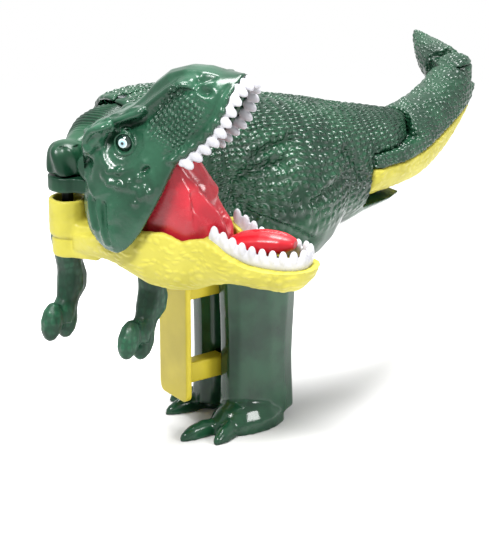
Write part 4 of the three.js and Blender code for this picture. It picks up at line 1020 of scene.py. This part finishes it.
    def build(self) -> None:
        """Recast, shape, carve, emboss and dress the head."""
        skin = Skin.of_node("upper_head", voxel=0.4, polish=10, extra=self.extras)
        along, aside, up = HEAD.read(skin.points()).T
        limit = self.back_top - self.back_slope * (self.back_front - along)
        over = np.clip(up - limit, 0, None) * (along < self.back_front)
        over *= smooth_share(np.abs(aside), *self.back_aside)
        pull = np.clip(along - self.snout_from, 0, None) * self.snout_pull
        skin.warp(HEAD, along=-pull, up=-over).carve(HEAD, self.strokes(), self.across)
        along, aside, up = HEAD.read(skin.points()).T
        snout = np.ones_like(along)
        for values, (rise, fall) in ((along, self.pebbled_along), (up, self.pebbled_up)):
            snout *= smooth_share(values, *rise)
            snout *= 1 - smooth_share(values, *fall)
        mask = np.clip(snout + self.pebbled_elsewhere, 0, 1)
        mask *= smooth_share(np.abs(aside), *self.pebbled_aside)
        seat = skin.beside(HEAD, HEAD_SCALES.cell[0])
        skin.emboss(HEAD_SCALES, mask, seat).dress(FINISHES.head, "head", "upper_head")


@dataclass
class Eyes:
    """Two glossy eyeballs with a pale iris and a small dark pupil, measured from the line of sight."""

    pupil: Span = (0.32, 0.48)
    iris: Span = (0.75, 1.0)
    # where the painted shade round the ball's edge begins
    rim: Span = (1.1, 1.25)
    behind: float = 9.0
    gloss: float = 0.08
    coat: float = 0.5
    fleck: float = 1500.0

    def build(self) -> None:
        """Model and dress both eyes."""
        for side, turn in (("left", 1), ("right", -1)):
            node = f"{side}_eye"
            low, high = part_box(node)
            centre, radius = (low + high) / 2, (high - low).z / 2
            shape = bmesh.new()
            bmesh.ops.create_uvsphere(shape, u_segments=32, v_segments=24, radius=radius)
            outward = (HEAD.left * turn).to_track_quat("Z", "Y").to_matrix().to_4x4()
            bmesh.ops.transform(shape, matrix=Matrix.Translation(centre) @ outward, verts=shape.verts)
            obj = place_mesh(node + "_ball", shape)
            dress(obj, FINISHES.tooth, "head", node)
            self.paint(obj, centre, (HEAD.left * turn).normalized())

    def paint(self, obj: bpy.types.Object, centre: Vector, sight: Vector) -> None:
        """Paint the pupil, the iris and a painted shade round the ball's edge in rings about the line of
        sight.

        Args:
            obj: The eyeball.
            centre: Its middle.
            sight: Its line of sight.
        """
        rings = []
        for vertex in obj.data.vertices:
            offset = vertex.co - centre
            ahead = offset.dot(sight)
            rings.append((offset - ahead * sight).length / MM if ahead > 0 else self.behind)
        store(obj.data, "ring", np.array(rings))
        made, desk, glaze = start_material(obj.name + "_glass")
        ring = desk.add("ShaderNodeAttribute", {"attribute_name": "ring"}).outputs["Fac"]
        flecks = desk.add("ShaderNodeTexNoise", Vector=desk.add("ShaderNodeTexCoord").outputs["Object"],
                          Scale=self.fleck, Detail=3.0)
        paint = desk.mixed(flecks.outputs["Fac"], colour(120, 160, 172), colour(160, 190, 196))
        paint = desk.mixed(desk.grade(ring, self.iris), paint, colour(190, 208, 208))
        # Painted shade: beyond the iris, where the lids and socket shade the ball, it goes dark green.
        paint = desk.mixed(desk.grade(ring, self.rim), paint, colour(12, 36, 28))
        paint = desk.mixed(desk.grade(ring, self.pupil), (0.004, 0.006, 0.008), paint)
        desk.feed(glaze["Base Color"], paint)
        glaze["Roughness"].default_value = self.gloss
        glaze["Coat Weight"].default_value = self.coat
        obj.data.materials[0] = made


@dataclass(frozen=True)
class ToothRow:
    """A row of teeth on a gum band, in the bearings of the jaw that carries it.

    The line runs from the rear of one side to the front: (aside, along, up) in millimetres.
    """

    node: str
    body: str
    bearings: Bearings
    line: tuple[Triple, ...]
    toward: int
    spacing: float
    crown: Triple
    band: float
    seat: float
    smooth: int = 16
    band_step: float = 0.5
    band_half: float = 0.75
    band_round: float = 0.2
    band_sides: int = 8
    crown_sides: int = 14
    voxel: float = 0.24
    polish: int = 3

    def whole_line(self, step: float) -> list[Vector]:
        """Points at even steps along the smooth line round both sides.

        Args:
            step: The step in millimetres.

        Returns:
            Points as (along, aside, up) in millimetres.
        """
        half = [Vector((along, -aside, up)) for aside, along, up in self.line]
        full = half + [Vector((p.x, -p.y, p.z)) for p in reversed(half[:-1])]
        fine: list[Vector] = []
        for i in range(len(full) - 1):
            a, b, c, d = (full[max(i - 1, 0)], full[i], full[i + 1], full[min(i + 2, len(full) - 1)])
            for k in range(self.smooth):
                t = k / self.smooth
                bend = (2 * a - 5 * b + 4 * c - d) * t * t + (3 * b - a - 3 * c + d) * t ** 3
                fine.append(b + ((c - a) * t + bend) / 2)
        fine.append(full[-1])
        runs = np.concatenate([[0], np.cumsum([(q - p).length for p, q in zip(fine, fine[1:])])])
        count = round(runs[-1] / step)
        flat = np.array(fine)
        wanted = (np.arange(count) + 0.5) * runs[-1] / count
        return [Vector([np.interp(w, runs, flat[:, k]) for k in range(3)]) for w in wanted]

    def bead(self, shape: Shape, spot: Vector, run: Vector, size: Sequence[float], sides: int) -> None:
        """Add one rounded bead to the shape.

        Args:
            shape: The shape that the bead joins.
            spot: Its middle as (along, aside, up) in millimetres.
            run: The line's direction there.
            size: Half its length along the line, across it and up, in millimetres.
            sides: How many sides it has.
        """
        new = bmesh.ops.create_uvsphere(shape, u_segments=sides, v_segments=sides, radius=1.0)["verts"]
        ahead = (self.bearings.forward * run.x + self.bearings.left * run.y).normalized()
        across = ahead.cross(self.bearings.up)
        turned = Matrix((ahead * size[0], across * size[1], self.bearings.up * size[2])).transposed() * MM
        matrix = Matrix.Translation(self.bearings.place(*spot)) @ turned.to_4x4()
        bmesh.ops.transform(shape, matrix=matrix, verts=new)

    def build(self, finish: Finish) -> None:
        """Model the band and its crowns, fuse them as one moulding and give it that finish."""
        shape = bmesh.new()
        fine = self.whole_line(self.band_step)
        for spot, after in zip(fine, fine[1:]):
            raised = spot + Vector((0, 0, self.toward * (self.seat + self.band / 2)))
            size = (self.band_step, self.band_half, self.band / 2 + self.band_round)
            self.bead(shape, raised, after - spot, size, self.band_sides)
        crowns = self.whole_line(self.spacing)
        for i, spot in enumerate(crowns):
            run = crowns[min(i + 1, len(crowns) - 1)] - crowns[max(i - 1, 0)]
            raised = spot + Vector((0, 0, self.toward * (self.seat + self.band)))
            self.bead(shape, raised, run, self.crown, self.crown_sides)
        Skin(self.node + "_moulding", shape, self.voxel, self.polish).dress(finish, self.body, self.node)


@dataclass
class Film:
    """The red film between the jaws, in millimetres from the jaw's hinge.

    Each fold is where it begins, how far it leans on the way down, its lift and its width.
    """

    half_width: float = 8.8
    top: float = 15.2
    base: float = -6.4
    top_front: float = 13.2
    base_front: float = 24.4
    rear: float = 4.4
    thickness: float = 0.7
    lean: float = 1.15
    bulge: float = 2.2
    narrowing: float = 0.16
    squareness: float = 0.62
    wave: Triple = (0.8, 7.0, 5.0)
    crumple: float = 1.3
    crumple_size: Triple = (3.4, 2.4, 0.7)
    fractal: tuple[float, float, int, float, float] = (1.0, 2.0, 3, 0.9, 2.0)
    folds: tuple[tuple[float, float, float, float], ...] = (
        (-0.35, 0.25, 2.4, 0.09), (-0.14, 0.2, -1.3, 0.09), (0.14, 0.1, 1.1, 0.12))
    fold_fade: Span = (0.35, 0.65)
    grid: tuple[int, int] = (150, 96)

    def point(self, turn: float, fall: float) -> Vector:
        """Find a point of the film.

        Args:
            turn: Round the mouth from one corner to the other, -1 to 1.
            fall: From the upper edge to the lower, 0 to 1.

        Returns:
            The point in the row frame.
        """
        angle = turn * math.pi / 2
        swell = math.sin(math.pi * fall)
        front = self.top_front + (self.base_front - self.top_front) * fall ** self.lean + self.bulge * swell
        half = self.half_width * (1 - self.narrowing * fall * fall)
        depth, waves, slant = self.wave
        crease = depth * math.sin(waves * angle + slant * fall) * swell * math.cos(angle)
        across, down, layer = self.crumple_size
        spot = Vector((across * turn + fall, down * fall, layer))
        crumple = noise.ridged_multi_fractal(spot, *self.fractal)
        crease += self.crumple * (crumple - 1.0) * swell
        for start, leaning, lift, width in self.folds:
            share = math.exp(-(((turn - (start + leaning * fall)) / width) ** 2))
            crease += lift * share * (self.fold_fade[0] + self.fold_fade[1] * swell)
        aside = half * math.copysign(abs(math.sin(angle)) ** self.squareness, turn)
        along = self.rear + (front - self.rear + crease) * abs(math.cos(angle)) ** self.squareness
        return JAW.place(along, aside, self.top + (self.base - self.top) * fall)

    def build(self) -> None:
        """Model the film with its folds."""
        shape = bmesh.new()
        bmesh.ops.create_grid(shape, x_segments=self.grid[0], y_segments=self.grid[1], size=1.0)
        for vertex in shape.verts:
            vertex.co = self.point(max(-1.0, min(1.0, vertex.co.x)), (vertex.co.y + 1) / 2)
        bmesh.ops.recalc_face_normals(shape, faces=shape.faces)
        obj = place_mesh("mouth_film", shape)
        wall = obj.modifiers.new("wall", "SOLIDIFY")
        wall.thickness = self.thickness * MM
        wall.offset = 0.0
        bake(obj)
        dress(obj, FINISHES.film, None, "mouth_membrane")
        tuple(JAW.place(14, 0, -4))
        tuple(JAW.place(10, 0, 12))
        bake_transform(obj)


@dataclass
class Mouth:
    """The lower jaw, both rows of teeth, the tongue and the red film."""

    rim_drop: float = 1.2
    rim_from: Span = (23.0, 28.0)
    rim_rear: float = 22.5
    ring_foot: float = 69.0
    ring_radius: float = 5.4
    ring_wall: float = 1.4
    ring_groove: float = 0.45
    smooth_skin: float = 0.3
    wrinkled_from: Span = (-16.0, -6.0)
    smooth_up: Span = (-6.0, 1.0)
    smooth_to: float = 20.0
    tongue_rise: float = 2.2
    tongue_rise_from: Span = (22.0, 30.0)
    tongue_back: float = 6.0
    upper_line: tuple[Triple, ...] = (
        (10.7, 22.5, -3.1), (9.7, 27.0, -4.2), (8.7, 34.0, -5.5), (7.7, 40.3, -4.5), (5.7, 44.3, -3.4),
        (2.6, 46.2, -3.1), (0.0, 46.5, -3.1))
    lower_line: tuple[Triple, ...] = (
        (7.7, 22.5, -2.7), (7.3, 27.5, -5.4), (6.5, 32.3, -7.6), (5.7, 38.3, -8.5), (4.9, 43.0, -8.5),
        (2.6, 45.6, -8.4), (0.0, 46.0, -8.4))

    def groove(self, turn: np.ndarray, height: np.ndarray, reach: np.ndarray) -> np.ndarray:
        """The line where the ring stands on the jaw, sunk into it."""
        depth = self.ring_groove * np.exp(-(((height - self.ring_foot) / self.ring_groove) ** 2))
        return -depth * (np.abs(reach - self.ring_radius) < self.ring_wall)

    def jaw(self) -> None:
        """Recast and dress the lower jaw, its rim under the teeth and its skin wrinkled but for the ring."""
        skin = Skin.of_node("lower_jaw", voxel=0.45, polish=12)
        along, _, up = JAW.read(skin.points()).T
        line = np.array(sorted((point[1], point[2]) for point in self.lower_line))
        rim = np.interp(along, line[:, 0], line[:, 1]) - self.rim_drop * smooth_share(along, *self.rim_from)
        over = np.clip(up - rim, 0, None) * (along > self.rim_rear)
        skin.warp(JAW, up=-over).swell("head_swivel", self.groove)
        wrinkled = smooth_share(along, *self.wrinkled_from)
        wrinkled *= 1 - smooth_share(up, *self.smooth_up) * (along < self.smooth_to)
        mask = self.smooth_skin + (1 - self.smooth_skin) * wrinkled
        seat = skin.beside(JAW, BELLY_WRINKLES.cell[0])
        skin.emboss(BELLY_WRINKLES, mask, seat).dress(FINISHES.yellow, "jaw", "lower_jaw")

    def tongue(self) -> None:
        """Recast and dress the tongue, raised to the front and drawn out to the rear."""
        skin = Skin.of_node("mouth_tongue", voxel=0.3, polish=8)
        along = JAW.read(skin.points())[:, 0]
        rise = self.tongue_rise * smooth_share(along, *self.tongue_rise_from)
        middle = (along.min() + along.max()) / 2
        back = self.tongue_back * smooth_share(middle - along, 0.0, middle - along.min())
        skin.warp(JAW, along=-back, up=rise).dress(FINISHES.lick, "jaw", "mouth_tongue")

    def build(self) -> None:
        """Build everything in the mouth."""
        self.jaw()
        Film().build()
        ToothRow("upper_teeth", "head", HEAD, self.upper_line, toward=-1, spacing=3.0,
                 crown=(1.35, 1.05, 2.3), band=1.1, seat=0.4).build(FINISHES.tooth)
        ToothRow("lower_teeth", "jaw", JAW, self.lower_line, toward=1, spacing=2.65,
                 crown=(1.15, 0.95, 2.2), band=3.0, seat=-1.2).build(FINISHES.tooth)
        self.tongue()
        Skin.of_node("head_carrier", voxel=0.34, polish=5).dress(FINISHES.plain, "jaw", "head_carrier")


@dataclass
class Tail:
    """The tail's green back, its yellow belly strip and the tip.

    Each piece is its solid, its mesh size in millimetres, its polish, relief, finish and body.
    """

    pieces: tuple[tuple[str, float, int, Relief, Finish, str], ...] = (
        ("tail_base", 0.4, 12, TAIL_SCALES, FINISHES.tail, "tail_base"),
        ("tail_belly", 0.4, 10, BELLY_WRINKLES, FINISHES.yellow, "tail_base"),
        ("tail_tip", 0.36, 12, TAIL_SCALES, FINISHES.tail, "tail_tip"))

    def build(self) -> None:
        """Recast, emboss and dress the three pieces."""
        for node, voxel, polish, relief, finish, body in self.pieces:
            Skin.of_node(node, voxel, polish).emboss(relief).dress(finish, body, node)


@dataclass
class Works:
    """The trigger, its drive bar, the spring, the pins and the screws."""

    pins: tuple[str, ...] = ("neck_pin", "tail_pin", "head_pin", "tip_pin", "jaw_pin_left", "jaw_pin_right",
                             "shell_screw_1", "shell_screw_2", "shell_screw_3", "shell_screw_4")
    blackened: tuple[str, ...] = ("head_pin",)

    def spring(self) -> None:
        """Copy the return spring and dress it in steel on the body."""
        node = "trigger_spring"
        shape = bmesh.new()
        shape.from_mesh(frame["nodes"][node].data)
        obj = dress(place_mesh("return_spring", shape), FINISHES.steel, "body", node)
        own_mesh(obj)

    def build(self) -> None:
        """Recast the moulded pieces and dress the metal ones."""
        self.spring()
        Skin.of_node("trigger", voxel=0.34, polish=5).dress(FINISHES.trigger, "trigger", "trigger")
        Skin.of_node("drive_bar", voxel=0.4, polish=3).dress(FINISHES.grey, "trigger", "drive_bar")
        for node in self.pins:
            finish = FINISHES.black if node in self.blackened else FINISHES.steel
            mesh = frame["nodes"][node].data
            for index in range(len(mesh.materials)):
                mesh.materials[index] = finish.material()


@dataclass
class Studio:
    """The camera, the pale floor, the soft lamps and the white surroundings.

    Each lamp is its name, its place and its side in metres, and its power in watts.
    """

    target: Triple = (-12.13, -15.46, 43.2)
    azimuth: float = 55.0
    height: float = 19.5
    distance: float = 0.6
    long_side: int = 538
    focus: float = 2100.0
    film: float = 36.0
    near: float = 0.01
    floor_size: float = 3.0
    floor_tone: float = 0.66
    floor_roughness: float = 0.9
    floor_fade: Span = (0.16, 0.4)
    room: float = 0.46
    lamps: tuple[tuple[str, Triple, float, float], ...] = (
        ("key", (0.25, -0.55, 0.75), 0.2, 12.0),
        ("side", (0.75, 0.25, 0.45), 0.26, 5.0),
        ("top", (-0.1, 0.1, 0.9), 0.42, 17.0))

    def hang(self, name: str, data: bpy.types.ID, spot: Vector) -> bpy.types.Object:
        """Put a camera or a lamp in its place, looking at the toy.

        Args:
            name: Its name.
            data: The camera or lamp itself.
            spot: Its place in metres.

        Returns:
            The new object.
        """
        obj = bpy.data.objects.new(name, data)
        obj.location = spot
        aim = Vector(self.target) * MM - spot
        obj.rotation_euler = aim.to_track_quat("-Z", "Y").to_euler()
        bpy.context.scene.collection.objects.link(obj)
        return obj

    def camera(self) -> None:
        """Stand the camera where the photograph was taken from."""
        turn, rise = math.radians(self.azimuth), math.radians(self.height)
        off = Vector((math.sin(turn) * math.cos(rise), -math.cos(turn) * math.cos(rise), math.sin(rise)))
        lens = bpy.data.cameras.new("camera")
        lens.sensor_fit = "AUTO"
        lens.sensor_width = self.film
        lens.lens = self.focus * self.film / self.long_side
        lens.clip_start = self.near
        bpy.context.scene.camera = self.hang("camera", lens, Vector(self.target) * MM + off * self.distance)

    def floor(self) -> None:
        """Lay a plain pale floor that keeps the toy's shadow."""
        shape = bmesh.new()
        bmesh.ops.create_grid(shape, x_segments=4, y_segments=4, size=self.floor_size)
        obj = place_mesh("floor", shape)
        made, desk, glaze = start_material("pale_floor")
        glaze["Base Color"].default_value = (self.floor_tone, self.floor_tone, self.floor_tone, 1)
        glaze["Roughness"].default_value = self.floor_roughness
        reach = desk.vectors("LENGTH", desk.add("ShaderNodeTexCoord").outputs["Object"])
        desk.feed(glaze["Alpha"], desk.grade(reach, self.floor_fade, (1.0, 0.0)))
        obj.data.materials.append(made)

    def surroundings(self) -> None:
        """Fill the room with even light, and show white wherever the camera or a gloss sees past the toy."""
        world = bpy.data.worlds.new("room")
        world.use_nodes = True
        bpy.context.scene.world = world
        desk = Desk(world.node_tree)
        room = world.node_tree.nodes["Background"]
        room.inputs["Color"].default_value = (1, 1, 1, 1)
        room.inputs["Strength"].default_value = self.room
        white = desk.add("ShaderNodeBackground", Color=(1, 1, 1, 1), Strength=1.0)
        path = desk.add("ShaderNodeLightPath")
        seen = desk.maths("MAXIMUM", path.outputs["Is Camera Ray"], path.outputs["Is Glossy Ray"])
        seen = desk.maths("MAXIMUM", seen, path.outputs["Is Transmission Ray"])
        mix = desk.add("ShaderNodeMixShader", Fac=seen)
        desk.feed(mix.inputs[1], room.outputs[0])
        desk.feed(mix.inputs[2], white.outputs[0])
        desk.feed(world.node_tree.nodes["World Output"].inputs["Surface"], mix.outputs[0])

    def build(self) -> None:
        """Set the whole studio."""
        bpy.context.scene.view_settings.view_transform = "Standard"
        self.camera()
        self.floor()
        self.surroundings()
        for name, spot, size, power in self.lamps:
            light = bpy.data.lights.new(name, "AREA")
            light.size, light.energy = size, power
            self.hang(name, light, Vector(spot))


def main() -> None:
    """Build every sub-assembly in order and report it."""
    logging.basicConfig(level=logging.INFO, format="%(message)s")
    Studio().build()
    for part in (Trunk(), Neck(), Head(), Eyes(), Mouth(), Tail(), Works()):
        part.build()
        LOG.info("built %s", type(part).__name__)


if __name__ == "__main__":
    main()
    bpy.context.view_layer.update()
